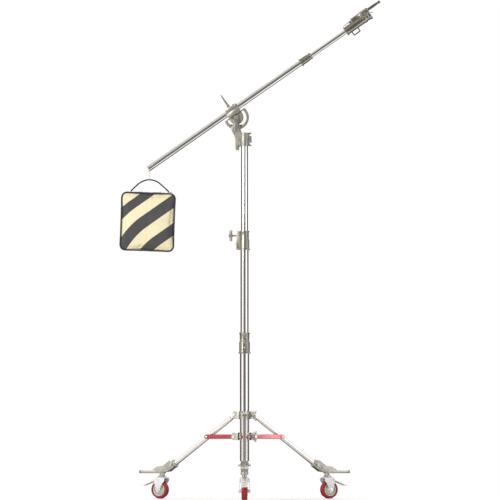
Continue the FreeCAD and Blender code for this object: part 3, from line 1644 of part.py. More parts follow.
doc.recompute()
broken = [item.Name for item in doc.Objects if "Invalid" in item.State or "Error" in item.State]
if broken:
    raise RuntimeError(f"failed objects: {broken}")
os.makedirs("parts", exist_ok=True)
for item in nodes:
    if item.Shape.isNull() or not item.Shape.isValid() or not item.Shape.Solids:
        raise RuntimeError(f"{item.Label} has no valid solid")
for item in nodes:
    item.Shape.exportStep(os.path.join("parts", item.Label + ".step"))
print(len(nodes), "nodes written")
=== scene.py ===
"""The wheeled boom stand's looks: materials, detail pieces, the sandbag, light and camera."""

import json
import math

import bmesh
import bpy
from mathutils import Matrix, Vector
from mathutils.bvhtree import BVHTree


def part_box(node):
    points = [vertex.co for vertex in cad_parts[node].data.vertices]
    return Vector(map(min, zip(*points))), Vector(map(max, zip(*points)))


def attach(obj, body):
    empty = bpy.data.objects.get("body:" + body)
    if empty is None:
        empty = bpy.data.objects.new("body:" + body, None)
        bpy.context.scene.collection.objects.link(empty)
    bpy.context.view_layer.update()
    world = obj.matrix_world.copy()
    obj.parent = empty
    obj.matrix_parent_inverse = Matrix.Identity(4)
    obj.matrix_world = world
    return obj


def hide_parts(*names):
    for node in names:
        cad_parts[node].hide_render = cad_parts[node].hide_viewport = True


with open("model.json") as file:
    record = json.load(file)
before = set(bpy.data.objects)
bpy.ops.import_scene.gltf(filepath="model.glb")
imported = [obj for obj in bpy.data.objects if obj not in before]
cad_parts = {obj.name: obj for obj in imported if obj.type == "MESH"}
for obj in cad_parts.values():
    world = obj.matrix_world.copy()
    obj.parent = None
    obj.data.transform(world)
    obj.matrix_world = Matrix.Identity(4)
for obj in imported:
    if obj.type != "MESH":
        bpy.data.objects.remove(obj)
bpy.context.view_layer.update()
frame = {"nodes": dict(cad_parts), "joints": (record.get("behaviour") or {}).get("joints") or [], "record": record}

MM = 0.001
UP = Vector((0, 0, 1))
RIGHT = Vector((1, 0, 0))
BACK = Vector((0, 1, 0))
NODES = frame["nodes"]
JOINTS = {joint["name"]: joint for joint in frame["joints"]}
MOUNTS = {mount["name"]: mount for mount in frame["record"]["mounts"]}
LEGS = ("front", "right", "left")


# ------------------------------------------------------------------ frames

def basis(origin, x, y, z):
    """A matrix with its origin at a point and its axes along three directions."""
    rows = Matrix((x, y, z)).transposed().to_4x4()
    return Matrix.Translation(origin) @ rows


def facing_front(place):
    """A frame at a point whose Z axis looks at the camera."""
    return basis(place, RIGHT, UP, -BACK)


def facing(matrix, sign):
    """The same frame, or the one that looks the other way where the sign is negative."""
    return matrix if sign > 0 else matrix @ Matrix.Rotation(math.pi, 4, "X")


def around(count):
    """Angles evenly round a full turn."""
    return [2 * math.pi * step / count for step in range(count)]


def swept(first, sweep, steps):
    """Angles evenly along an arc that is given in degrees."""
    return [math.radians(first + sweep * step / steps) for step in range(steps + 1)]


def joint_at(name):
    return Vector(JOINTS[name]["pos_m"])


def joint_axis(name):
    return Vector(JOINTS[name]["axis"]).normalized()


# Along the boom, across it and up from it, with the origin on the tilt pivot.
ALONG = joint_axis("boom_slide")
BOOM_UP = Vector((-ALONG.z, 0, ALONG.x))
PIVOT = joint_at("boom_tilt")
BOOM = basis(PIVOT, ALONG, BACK, BOOM_UP)


def on_boom(along, across, up):
    """A point in the boom's frame, in millimetres."""
    return BOOM @ (Vector((along, across, up)) * MM)


BOOM_AXIS_UP = (Vector(MOUNTS["receiver"]["pos_m"]) - PIVOT).dot(BOOM_UP) / MM
HEAD_END = (Vector(MOUNTS["receiver"]["pos_m"]) - PIVOT).dot(ALONG) / MM + 39.5


class LegFrame:
    """A leg's upright plane: out from the column, to its side and up."""

    def __init__(self, leg):
        self.leg = leg
        self.side = joint_axis(f"{leg}_leg_fold")
        self.out = self.side.cross(UP)
        self.matrix = basis(Vector((0, 0, 0)), self.out, self.side, UP)

    def point(self, out, side, up):
        return self.matrix @ (Vector((out, side, up)) * MM)

    def at(self, joint):
        """A joint's (out, up) in millimetres."""
        place = joint_at(f"{self.leg}_{joint}")
        return place.dot(self.out) / MM, place.z / MM

    def axle(self, out, up, side=0):
        """A frame at a point, with its Z axis along the axle."""
        return basis(self.point(out, side, up), self.out, -UP, self.side)


# ------------------------------------------------------------------ materials


class Wires:
    """Adds nodes to a shader tree and joins them up."""

    def __init__(self, tree):
        self.tree = tree

    def add(self, kind, inputs=(), **settings):
        node = self.tree.nodes.new("ShaderNode" + kind)
        for key, value in settings.items():
            setattr(node, key, value)
        for socket, value in dict(inputs).items():
            if isinstance(value, bpy.types.NodeSocket):
                self.tree.links.new(value, node.inputs[socket])
            else:
                node.inputs[socket].default_value = value
        return node

    def math(self, operation, first, second=0.0, third=0.0):
        inputs = {0: first, 1: second, 2: third}
        return self.add("Math", inputs, operation=operation).outputs[0]

    def mix(self, factor, first, second, blend="MIX"):
        node = self.add("Mix", {0: factor}, data_type="RGBA", blend_type=blend)
        for socket, value in ((6, first), (7, second)):
            if isinstance(value, bpy.types.NodeSocket):
                self.tree.links.new(value, node.inputs[socket])
            else:
                node.inputs[socket].default_value = (*value, 1)
        return node.outputs[2]

    def remap(self, factor, low, high, start=0.0, end=1.0, kind="LINEAR"):
        """Turns the stretch from start to end into the one from low to high."""
        inputs = {0: factor, 1: start, 2: end, 3: low, 4: high}
        return self.add("MapRange", inputs, interpolation_type=kind).outputs[0]

    def fade(self, factor, start, end):
        """0 at the start and 1 at the end, with soft shoulders. The start may be the larger one."""
        low, high = (0.0, 1.0) if start < end else (1.0, 0.0)
        return self.remap(factor, low, high, min(start, end), max(start, end), "SMOOTHSTEP")


class Shader(Wires):
    """A principled material that is wired up one node at a time."""

    def __init__(self, name, **numbers):
        self.material = bpy.data.materials.new(name)
        self.material.use_nodes = True
        super().__init__(self.material.node_tree)
        self.bsdf = self.tree.nodes["Principled BSDF"]
        for socket, value in numbers.items():
            self.bsdf.inputs[socket.replace("_", " ")].default_value = value
        self.place = self.add("TexCoord").outputs["Object"]

    def noise(self, scale, detail=3.0, roughness=0.5, stretch=(1, 1, 1), turn=(0, 0, 0)):
        """Noise in the object's own space, drawn out along an axis by the stretch."""
        place = self.add("Mapping", {"Vector": self.place, "Scale": stretch, "Rotation": turn})
        inputs = {"Vector": place.outputs[0], "Scale": scale, "Detail": detail, "Roughness": roughness}
        return self.add("TexNoise", inputs).outputs["Fac"]

    def edges(self, low=0.505, high=0.56):
        """1 on worn edges, 0 on flat faces."""
        point = self.add("NewGeometry").outputs["Pointiness"]
        return self.remap(point, 0.0, 1.0, low, high)

    def bump(self, *layers):
        """Stacks (height, depth in metres) layers into the normal."""
        normal = None
        for height, depth in layers:
            inputs = {"Height": height, "Distance": depth, "Strength": 1.0}
            if normal:
                inputs["Normal"] = normal
            normal = self.add("Bump", inputs).outputs[0]
        self.tree.links.new(normal, self.bsdf.inputs["Normal"])

    def colour(self, value):
        self.tree.links.new(value, self.bsdf.inputs["Base Color"])

    def roughness(self, value):
        self.tree.links.new(value, self.bsdf.inputs["Roughness"])


def chrome(name, stretch, turn=(0, 0, 0), tint=(0.90, 0.895, 0.88)):
    """Plated tube: mirror-like, with fine lengthwise wipe marks and a few faint smears."""
    shader = Shader(name, Metallic=1.0)
    wipes = shader.noise(60, 4, 0.6, stretch, turn)
    smears = shader.noise(9, 3)
    dull = tuple(value * 0.86 for value in tint)
    shader.colour(shader.mix(shader.remap(smears, 0, 1, 0.45, 0.75), tint, dull))
    shader.roughness(shader.remap(shader.math("MULTIPLY", wipes, smears), 0.045, 0.16, 0.12, 0.42))
    shader.bump((wipes, 0.0000015))
    return shader.material


def casting(name, light, dark, roughness=0.34):
    """Plated die casting: sand grain in the skin, darker hollows and bright rubbed edges."""
    shader = Shader(name, Metallic=0.88)
    grain = shader.noise(1400, 2)
    cloud = shader.noise(38, 4, 0.6)
    pits = shader.noise(420, 3, 0.7)
    body = shader.mix(shader.remap(cloud, 0, 1, 0.3, 0.72), light, dark)
    body = shader.mix(shader.remap(pits, 0, 0.3, 0.6, 0.75), body, tuple(v * 0.75 for v in dark))
    rubbed = tuple(min(1.0, v * 1.35) for v in light)
    shader.colour(shader.mix(shader.math("MULTIPLY", shader.edges(), 0.7), body, rubbed))
    shader.roughness(shader.remap(cloud, roughness - 0.07, roughness + 0.12, 0.3, 0.7))
    shader.bump((grain, 0.000006), (pits, 0.000012))
    return shader.material


def zinc(name, light, dark, roughness=0.28, metal=0.92):
    """Bright zinc plate: crystal spangle, small scratches and dull handling marks."""
    shader = Shader(name, Metallic=metal)
    cells = shader.add("TexVoronoi", {"Vector": shader.place, "Scale": 160.0}).outputs["Color"]
    spangle = shader.add("SeparateColor", {0: cells}).outputs[0]
    marks = shader.noise(70, 5, 0.65)
    body = shader.mix(spangle, light, dark)
    shader.colour(shader.mix(shader.math("MULTIPLY", shader.edges(), 0.5), body, (0.95, 0.95, 0.94)))
    value = shader.math("ADD", shader.math("MULTIPLY", spangle, 0.08), shader.math("MULTIPLY", marks, 0.22))
    shader.roughness(shader.math("ADD", value, roughness - 0.14))
    shader.bump((marks, 0.00004))
    return shader.material


def powder_coat(name, light, dark, metal=(0.62, 0.60, 0.57)):
    """Powder coat on steel: orange peel, slight mottling and bare metal on rubbed edges."""
    shader = Shader(name, Coat_Weight=0.35, Coat_Roughness=0.22)
    peel = shader.noise(620, 2)
    mottle = shader.noise(24, 4, 0.6)
    chips = shader.noise(260, 4, 0.7)
    worn = shader.math("MULTIPLY", shader.edges(0.52, 0.58), shader.remap(chips, 0, 1, 0.52, 0.58))
    shader.colour(shader.mix(worn, shader.mix(shader.remap(mottle, 0, 1, 0.35, 0.65), light, dark), metal))
    shader.roughness(shader.remap(mottle, 0.34, 0.48, 0.3, 0.7))
    shader.tree.links.new(worn, shader.bsdf.inputs["Metallic"])
    shader.bump((peel, 0.00012), (worn, -0.00008))
    return shader.material


def polyurethane(name, light, dark):
    """Caster tread: satin, slightly cloudy, with dust rubbed into its skin."""
    shader = Shader(name, Subsurface_Weight=0.06, Subsurface_Radius=(0.004, 0.001, 0.001))
    shader.bsdf.inputs["Specular IOR Level"].default_value = 0.45
    cloud = shader.noise(45, 5, 0.6)
    dust = shader.noise(300, 4, 0.7)
    body = shader.mix(shader.remap(cloud, 0, 1, 0.3, 0.7), light, dark)
    shader.colour(shader.mix(shader.remap(dust, 0, 0.22, 0.55, 0.75), body, (0.55, 0.36, 0.32)))
    shader.roughness(shader.remap(dust, 0.33, 0.55, 0.3, 0.7))
    shader.bump((dust, 0.00008), (shader.noise(900, 2), 0.00003))
    return shader.material


def moulded(name, light, dark, roughness=0.45):
    """Moulded plastic: fine spark-eroded texture and faint flow marks."""
    shader = Shader(name)
    flow = shader.noise(30, 4, 0.55, (1, 1, 0.4))
    skin = shader.noise(1100, 3, 0.6)
    shader.colour(shader.mix(shader.remap(flow, 0, 1, 0.3, 0.7), light, dark))
    shader.roughness(shader.remap(skin, roughness - 0.06, roughness + 0.1, 0.35, 0.65))
    shader.bump((skin, 0.00005), (flow, 0.0001))
    return shader.material


def thread_height(shader, pitch):
    """A plain weave: threads along X and Z that pass over and under each other."""
    axes = shader.add("SeparateXYZ", {0: shader.place}).outputs
    turns = 2 * math.pi / pitch
    waves = [shader.math("SINE", shader.math("MULTIPLY", axis, turns)) for axis in axes]
    flat = shader.math("MULTIPLY", waves[0], waves[2])
    side = shader.math("MULTIPLY", waves[1], shader.math("ADD", waves[0], waves[2]))
    return shader.remap(shader.math("ADD", flat, side), 0.0, 1.0, -1.2, 1.2)


def cloth_finish(shader, colour, weave, depth):
    fuzz = shader.noise(240, 5, 0.7)
    # the weave's low threads are darkened: painted shade between the threads, with random tone from the fuzz
    shade = shader.remap(weave, 0.86, 1.04)
    shade = shader.math("MULTIPLY", shade, shader.remap(fuzz, 0.9, 1.08, 0.3, 0.7))
    tint = shader.add("CombineColor", {0: shade, 1: shade, 2: shade}).outputs[0]
    shader.colour(shader.mix(1.0, colour, tint, "MULTIPLY"))
    shader.roughness(shader.remap(fuzz, 0.78, 0.95, 0.3, 0.7))
    shader.bump((weave, depth), (fuzz, depth * 0.6))
    return shader.material


CREAM = (0.90, 0.82, 0.55)
CHARCOAL = (0.062, 0.062, 0.066)


def striped_canvas(name):
    """Canvas with slanted charcoal stripes whose lower ends curl down."""
    shader = Shader(name, Sheen_Weight=0.15, Sheen_Roughness=0.5)
    axes = shader.add("SeparateXYZ", {0: shader.place}).outputs
    slope = math.radians(37)
    along = shader.math("MULTIPLY", axes[0], math.cos(slope))
    along = shader.math("MULTIPLY_ADD", axes[2], math.sin(slope), along)
    below = shader.math("MINIMUM", shader.math("ADD", along, 0.017), 0.0)
    curl = shader.math("MULTIPLY", shader.math("MULTIPLY", below, below), -1.33)
    slant = shader.math("MULTIPLY_ADD", axes[0], math.sin(slope), curl)
    slant = shader.math("MULTIPLY_ADD", axes[2], -math.cos(slope), slant)
    slant = shader.math("ADD", slant, shader.remap(shader.noise(900, 2), -0.0004, 0.0004, 0.3, 0.7))
    dark = None
    for low, high in ((-0.150, -0.1015), (-0.0435, 0.020), (0.086, 0.143)):
        inside = shader.math("LESS_THAN", slant, high)
        band = shader.math("MULTIPLY", shader.math("GREATER_THAN", slant, low), inside)
        dark = shader.math("ADD", dark, band) if dark else band
    faded = shader.remap(shader.noise(14, 4, 0.6), 0, 1, 0.35, 0.7)
    cream = shader.mix(faded, CREAM, tuple(v * 0.93 for v in CREAM))
    charcoal = shader.mix(faded, CHARCOAL, tuple(v * 1.25 for v in CHARCOAL))
    return cloth_finish(shader, shader.mix(dark, cream, charcoal), thread_height(shader, 0.0022), 0.00022)


def plain_canvas(name, light, dark, pitch=0.0016, depth=0.00025):
    shader = Shader(name, Sheen_Weight=0.2, Sheen_Roughness=0.5)
    colour = shader.mix(shader.remap(shader.noise(20, 4), 0, 1, 0.3, 0.7), light, dark)
    return cloth_finish(shader, colour, thread_height(shader, pitch), depth)


def slope_of(axis):
    """The turn about Y that brings a direction in the XZ plane onto Z."""
    return (0, -math.atan2(axis.x, axis.z), 0)


LOOK = {
    "cast_nickel": casting("cast_nickel", (0.385, 0.36, 0.31), (0.29, 0.272, 0.233), 0.31),
    # the paler casting finish; on the bracket's lower boss it serves as a painted highlight
    "pale_casting": casting("pale_casting", (0.46, 0.44, 0.40), (0.37, 0.355, 0.315), 0.32),
    # painted shade: a darker copy of the casting finish, for the head bracket, clamp, tilt handle and lock knobs
    "dark_casting": casting("dark_casting", (0.36, 0.35, 0.30), (0.29, 0.282, 0.24), 0.42),
    "bright_casting": casting("bright_casting", (0.37, 0.353, 0.308), (0.265, 0.252, 0.215), 0.17),
    "pale_zinc": zinc("pale_zinc", (0.80, 0.80, 0.81), (0.70, 0.70, 0.71), 0.42, 0.25),
    "bolt_steel": zinc("bolt_steel", (0.56, 0.55, 0.51), (0.46, 0.45, 0.42), 0.34),
    "zinc_steel": zinc("zinc_steel", (0.80, 0.79, 0.82), (0.68, 0.67, 0.70)),
    # dark steel for the real dark parts; on the screw sockets, screw slots and the foot's teardrop hollow it is
    # painted shade
    "dark_steel": zinc("dark_steel", (0.24, 0.24, 0.24), (0.16, 0.16, 0.16), 0.4),
    "red_paint": powder_coat("red_paint", (0.42, 0.016, 0.028), (0.36, 0.011, 0.021)),
    "red_tyre": polyurethane("red_tyre", (0.36, 0.018, 0.030), (0.27, 0.011, 0.020)),
    "hub_metal": powder_coat("hub_metal", (0.76, 0.76, 0.66), (0.66, 0.67, 0.58)),
    "hub_groove": powder_coat("hub_groove", (0.26, 0.31, 0.25), (0.19, 0.23, 0.18)),
    "cream_plastic": moulded("cream_plastic", (0.87, 0.83, 0.70), (0.80, 0.76, 0.63)),
    "black_rubber": moulded("black_rubber", (0.045, 0.045, 0.043), (0.03, 0.03, 0.03), 0.6),
    "binding": plain_canvas("binding", (0.040, 0.040, 0.043), (0.030, 0.030, 0.032), 0.0012),
    "webbing": plain_canvas("webbing", (0.018, 0.018, 0.019), (0.013, 0.013, 0.014), 0.002, 0.0004),
    "dark_thread": plain_canvas("dark_thread", (0.16, 0.16, 0.165), (0.12, 0.12, 0.125), 0.0005),
    "column_chrome": chrome("column_chrome", (12, 12, 0.15)),
    "boom_chrome": chrome("boom_chrome", (12, 12, 0.15), slope_of(ALONG)),
    # painted shade: the pin's chrome gets a dark tint so that the pin reads dark
    "pin_chrome": chrome("pin_chrome", (12, 12, 0.15), slope_of(ALONG), (0.26, 0.255, 0.24)),
}


def paint(obj, look):
    obj.data.materials.clear()
    obj.data.materials.append(LOOK[look] if isinstance(look, str) else look)


# ------------------------------------------------------------------ mesh pieces


def finished(name, bm, body, look, smooth=32):
    """Links a mesh as a piece that rides on a body, smooth apart from its sharp edges."""
    mesh = bpy.data.meshes.new(name)
    bmesh.ops.recalc_face_normals(bm, faces=bm.faces)
    bm.to_mesh(mesh)
    bm.free()
    mesh.shade_smooth()
    mesh.set_sharp_from_angle(angle=math.radians(smooth))
    obj = bpy.data.objects.new(name, mesh)
    bpy.context.scene.collection.objects.link(obj)
    paint(obj, look)
    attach(obj, body)
    return obj


def bevel(obj, width, segments=2, angle=30):
    """Rounds an object's sharp edges, so that they catch the light."""
    weld = obj.modifiers.new("weld", "WELD")
    weld.merge_threshold = 0.00001
    cut = obj.modifiers.new("bevel", "BEVEL")
    cut.width = width * MM
    cut.segments = segments
    cut.limit_method = "ANGLE"
    cut.angle_limit = math.radians(angle)
    return obj


def join_rings(bm, first, second):
    """Faces between two rings with as many corners."""
    for at in range(len(first)):
        after = (at + 1) % len(first)
        bm.faces.new((first[at], first[after], second[after], second[at]))


def add_turned(bm, profile, matrix, segments=48, closed=True):
    """Adds a lathe form to a mesh: (radius, height) corners in millimetres about the matrix's Z."""
    rings = []
    for radius, height in profile:
        if radius < 1e-6:
            rings.append([bm.verts.new(matrix @ Vector((0, 0, height * MM)))])
            continue
        points = [Vector((radius * math.cos(angle), radius * math.sin(angle), height)) * MM
                  for angle in around(segments)]
        rings.append([bm.verts.new(matrix @ point) for point in points])
    pairs = list(zip(rings, rings[1:]))
    if closed and len(rings[0]) > 1 and len(rings[-1]) > 1:
        pairs.append((rings[-1], rings[0]))
    for first, second in pairs:
        for step in range(segments):
            after = (step + 1) % segments
            corners = []
            for ring, steps in ((first, (step, after)), (second, (after, step))):
                corners += [ring[0]] if len(ring) == 1 else [ring[at] for at in steps]
            if len(corners) >= 3:
                bm.faces.new(corners)
    return bm


def turned_piece(name, profile, matrix, body, look, segments=48, closed=True, smooth=32):
    """A lathe form as a piece of its own."""
    bm = add_turned(bmesh.new(), profile, matrix, segments, closed)
    return finished(name, bm, body, look, smooth)


def add_tube(bm, points, radius, segments=10, closed=False):
    """Adds a round tube that follows points, in metres."""
    count = len(points)
    rings = []
    normal = None
    for index, point in enumerate(points):
        before = points[index - 1] if index or closed else point
        after = points[(index + 1) % count] if index < count - 1 or closed else point
        along = (after - before).normalized()
        if normal is None:
            normal = along.orthogonal().normalized()
        normal = (normal - along * normal.dot(along)).normalized()
        side = along.cross(normal)
        ring = [point + normal * (radius * math.cos(angle)) + side * (radius * math.sin(angle))
                for angle in around(segments)]
        rings.append([bm.verts.new(corner) for corner in ring])
    pairs = list(zip(rings, rings[1:]))
    if closed:
        shift = min(range(segments), key=lambda step: (rings[-1][0].co - rings[0][step].co).length)
        pairs.append((rings[-1], rings[0][shift:] + rings[0][:shift]))
    for first, second in pairs:
        join_rings(bm, first, second)
    if not closed:
        bm.faces.new(list(reversed(rings[0])))
        bm.faces.new(rings[-1])
    return bm


def add_block(bm, matrix, length, width, height, trim=0.0):
    """Adds a block centred on the matrix, in millimetres, with trimmed upper edges."""
    sides = Vector((length, width, height)) * MM / 2
    made = bmesh.ops.create_cube(bm, size=2.0, matrix=matrix @ Matrix.Diagonal((*sides, 1)))
    if trim:
        edges = list({edge for vert in made["verts"] for edge in vert.link_edges})
        bmesh.ops.bevel(bm, geom=edges, offset=trim * MM, segments=2, affect="EDGES", profile=0.6)
    return bm


def add_hexagon(bm, across, height, matrix, chamfer=0.6):
    """Adds a hexagon nut or bolt head: its width across flats, from the matrix's origin up Z."""
    corner = across / 2 / math.cos(math.pi / 6)
    profile = ((0, 0), (corner - chamfer, 0), (corner, chamfer), (corner, height - chamfer),
               (corner - chamfer, height), (0, height))
    return add_turned(bm, profile, matrix, 6, closed=False)


def smooth_points(points, steps=8):
    """Points along a smooth open curve through the given ones."""
    padded = [points[0] * 2 - points[1], *points, points[-1] * 2 - points[-2]]
    run = []
    for p0, p1, p2, p3 in zip(padded, padded[1:], padded[2:], padded[3:]):
        for step in range(steps):
            t = step / steps
            run.append(0.5 * (2 * p1 + (p2 - p0) * t + (2 * p0 - 5 * p1 + 4 * p2 - p3) * t * t
                              + (3 * p1 - p0 - 3 * p2 + p3) * t ** 3))
    return [*run, points[-1]]


# ------------------------------------------------------------------ CAD nodes


# Looks that a node's slot doesn't give, by the end of the node's name.
SPECIAL_LOOKS = {
    "leg_spider": "pale_casting", "brace_collar": "pale_casting", "spider_knob": "pale_casting",
    "brace_collar_knob": "pale_casting", "foot_casting": "pale_casting", "tilt_head_bolts": "pale_casting",
    # the head bracket, clamp, tilt handle and lock knobs take the darker casting copy: painted shade
    "tilt_head_bracket": "dark_casting", "sector_and_clamp_base": "dark_casting", "clamp_cap": "dark_casting",
    "tilt_lock_handle": "dark_casting", "first_lock_knob": "dark_casting", "second_lock_knob": "dark_casting",
    "boom_head_casting": "bright_casting", "boom_sleeve_collar": "bright_casting",
    "clamp_lever": "bright_casting", "_fork": "pale_zinc", "_pedal": "pale_zinc",
    "pin_latch_lever": "dark_steel", "clamp_bolts": "bolt_steel", "foot_hardware": "bolt_steel",
    # the pin takes the dark-tinted chrome: painted shade
    "boom_head_pin": "pin_chrome",
}


def dress_cad_nodes():
    """Gives each CAD node its finish and soft edges."""
    slots = {part["node"]: part["material_slot"] for part in frame["record"]["subparts"]}
    for name, obj in NODES.items():
        slot = slots[name]
        if slot == "chrome_tube":
            look = "boom_chrome" if name.startswith("boom") else "column_chrome"
        else:
            look = slot if slot in LOOK else "webbing"
        for ending, special in SPECIAL_LOOKS.items():
            if name.endswith(ending):
                look = special
        paint(obj, look)
        obj.data.shade_smooth()
        obj.data.set_sharp_from_angle(angle=math.radians(32))
        if slot == "cast_nickel":
            bevel(obj, 0.9)
        elif name.endswith(("_fork", "_pedal", "_brace")):
            bevel(obj, 0.7)
    for leg in LEGS:
        side = LegFrame(leg)
        rise = math.radians(35.2)
        down = side.out * math.cos(rise) - UP * math.sin(rise)
        turn = UP.rotation_difference(down).inverted().to_euler()
        look = chrome(f"{leg}_leg_chrome", (12, 12, 0.15), tuple(turn))
        paint(NODES[f"{leg}_leg_tube"], look)


# ------------------------------------------------------------------ casters


def dress_caster(leg):
    side = LegFrame(leg)
    wheel_out, wheel_up = side.at("wheel_spin")
    radius = wheel_up
    low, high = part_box(f"{leg}_wheel_hub")
    rim = (high.z - low.z) / 2 / MM
    hub = side.axle(wheel_out, wheel_up)
    half = 16.5
    wheel, swivel = f"{leg}_wheel", f"{leg}_swivel"

    # tread: a crowned band with two shallow grooves, rounded shoulders and a raised side ring
    outline = [(rim + 0.1, -half + 2), (rim + 1.5, -half + 0.2), (rim + 5, -half),
               (rim + 5.6, -half - 0.5), (rim + 8, -half - 0.5), (rim + 8.6, -half),
               (radius - 4, -half + 0.3), (radius - 1.8, -half + 2.4), (radius - 0.5, -half + 6),
               (radius - 0.25, -7), (radius - 1.1, -6.5), (radius - 1.1, -5.3),
               (radius - 0.2, -4.8), (radius, 0)]
    outline += [(r, -z) for r, z in reversed(outline[:-1])]
    tread = turned_piece(f"{leg}_tread", outline, hub, wheel, "red_tyre", 96, smooth=40)
    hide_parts(f"{leg}_tyre")

    # hub: rolled rim, dished web with pressed ribs, and a bearing boss
    face = half - 1.2
    outline = [(5.06, face + 7.5), (9.6, face + 7.5), (10, face + 7), (10, face - 0.5), (13, face - 3.2),
               (rim - 13, face - 3.2), (rim - 12, face - 4.5), (rim - 7, face - 5), (rim - 5.2, face - 2.5),
               (rim - 4.5, face + 0.2), (rim - 2.5, face + 0.7), (rim - 0.8, face), (rim - 0.3, face - 1.5)]
    outline += [(r, -z) for r, z in reversed(outline)]
    disc = turned_piece(f"{leg}_hub_disc", outline, hub, wheel, "hub_metal", 72, smooth=40)
    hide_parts(f"{leg}_wheel_hub")
    ribs, groove, race = bmesh.new(), bmesh.new(), bmesh.new()
    for sign in (-1, 1):
        for step in range(6):
            turn = Matrix.Rotation(math.radians(60 * step), 4, "Z")
            shift = Matrix.Translation(Vector((rim / 2 - 1.6, 0, sign * (face - 2.9))) * MM)
            add_block(ribs, hub @ turn @ shift, rim - 24, 3.2, 2.2, 0.5)
        level = sign * (face - 4.4)
        outline = ((rim - 12.4, level), (rim - 12.2, level + sign * 0.55),
                   (rim - 6.6, level + sign * 0.35), (rim - 6.4, level))
        add_turned(groove, outline, hub, 72)
        level = sign * (face + 7.5)
        outline = ((6.3, level), (6.6, level + sign * 0.35), (8.7, level + sign * 0.35), (9, level))
        add_turned(race, outline, hub, 40)
    finished(f"{leg}_hub_ribs", ribs, wheel, "hub_metal")
    finished(f"{leg}_hub_grooves", groove, wheel, "hub_groove")
    finished(f"{leg}_bearing_seals", race, wheel, "dark_steel")

    # axle: a hexagon head, a lock nut with its collar, and washers
    bolt = add_turned(bmesh.new(), ((0, -31), (5, -31), (5, 33.4), (4.2, 34.2), (0, 34.2)), hub, 32, False)
    for sign in (-1, 1):
        turned = facing(hub, sign)
        washer = ((5, 28.55), (9.5, 28.55), (9.7, 28.8), (9.7, 29.4), (9.4, 29.7), (5, 29.7))
        add_turned(bolt, washer, turned, 36)
        add_hexagon(bolt, 13, 3.4 if sign > 0 else 3.9, turned @ Matrix.Translation((0, 0, 29.65 * MM)))
    bolt = finished(f"{leg}_axle_bolt", bolt, swivel, "zinc_steel")
    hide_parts(f"{leg}_caster_axle")

    # swivel: a ball race under the dome and a spun dust cover with rolled lips
    stem_out = side.at("caster_swivel")[0]
    stem = basis(side.point(stem_out, 0, 0), side.out, side.side, UP)
    outline = ((15.6, 127.2), (16.4, 128.2), (18.2, 128.0), (24.6, 121.3), (26.6, 118.4),
               (25.6, 118.4), (22, 121), (15.6, 126.4))
    turned_piece(f"{leg}_dust_cover", outline, stem, swivel, "zinc_steel", 64)
    balls = bmesh.new()
    for angle in around(14):
        place = side.point(stem_out + 27.3 * math.cos(angle), 27.3 * math.sin(angle), 117.1)
        bmesh.ops.create_icosphere(balls, subdivisions=2, radius=1.7 * MM, matrix=Matrix.Translation(place))
    finished(f"{leg}_swivel_balls", balls, swivel, "dark_steel", 60)

    # brake pedal: pressed ribs along the tread and the return spring round its pin
    pedal = f"{leg}_pedal"
    pin_out, pin_up = side.at("brake_pedal_press")
    ribs = bmesh.new()
    slope = [(583, 95.8), (606, 86.3), (634, 75.3)]
    for offset in (-12, -4, 4, 12):
        run = [side.point(out, offset, up) for out, up in slope]
        add_tube(ribs, smooth_points(run, 5), 1.2 * MM, 8)
    finished(f"{leg}_pedal_ribs", ribs, pedal, "pale_zinc", 60)
    spring = bmesh.new()
    for sign in (-1, 1):
        coil = []
        for step in range(61):
            angle = 2 * math.pi * step / 12
            coil.append(side.point(pin_out + 4.1 * math.cos(angle), sign * (20.6 + 0.075 * step),
                                   pin_up + 4.1 * math.sin(angle)))
        add_tube(spring, coil, 0.55 * MM, 6)
    finished(f"{leg}_pedal_springs", spring, pedal, "zinc_steel", 60)


# ------------------------------------------------------------------ feet


def dress_foot(leg):
    side = LegFrame(leg)
    body = f"{leg}_leg"
    # raised teardrop on the front slope, with its hollow as a dark dish: painted shade standing in for the recess
    front = Vector((0.70, 0, 0.714))
    origin = Vector((477, 0, 207.5))
    down = Vector((0.714, 0, -0.70))

    def on_slope(along, across, rise):
        place = origin + down * along + front * rise
        return side.point(place.x, across, place.z)

    ring, hollow = bmesh.new(), bmesh.new()
    drop = []
    for angle in around(28):
        tall = 6.5 if math.cos(angle) < 0 else 4.6
        wide = 4.6 * (1.0 + 0.25 * math.cos(angle))
        drop.append((14 + tall * math.cos(angle) * 1.15, wide * math.sin(angle)))
    add_tube(ring, [on_slope(a, b, 0.3) for a, b in drop], 1.1 * MM, 8, closed=True)
    finished(f"{leg}_foot_drop_rim", ring, body, "pale_casting", 60)
    verts = [hollow.verts.new(on_slope(a, b, 0.25)) for a, b in drop]
    hollow.faces.new(verts)
    base = [hollow.verts.new(on_slope(a, b, -0.6)) for a, b in drop]
    hollow.faces.new(list(reversed(base)))
    join_rings(hollow, verts, base)
    finished(f"{leg}_foot_drop_hollow_shade", hollow, body, "dark_steel")

    # toe: cross ridges for a boot, and a raised lip round the tip
    ridges = bmesh.new()
    for step in range(6):
        place = side.point(590 + 9 * step, 0, 155.1)
        turned = basis(place, side.out, side.side, UP)
        add_block(ridges, turned, 3.2, 34, 0.9, 0.35)
    finished(f"{leg}_toe_ridges", ridges, body, "pale_casting")
    arc = [side.point(646 + 20.6 * math.cos(angle), 20.6 * math.sin(angle), 154.3)
           for angle in swept(-80, 160, 16)]
    lip = add_tube(bmesh.new(), arc, 1.5 * MM, 8)
    finished(f"{leg}_toe_lip", lip, body, "cast_nickel", 60)

    # clamp screws: dark hexagons on the heads, painted shade standing in for their sockets
    sockets = bmesh.new()
    for sign in (-1, 1):
        add_hexagon(sockets, 5.4, 0.5, facing(side.axle(452, 190, sign * 34.4), sign), 0.1)
    finished(f"{leg}_foot_screw_socket_shades", sockets, body, "dark_steel")


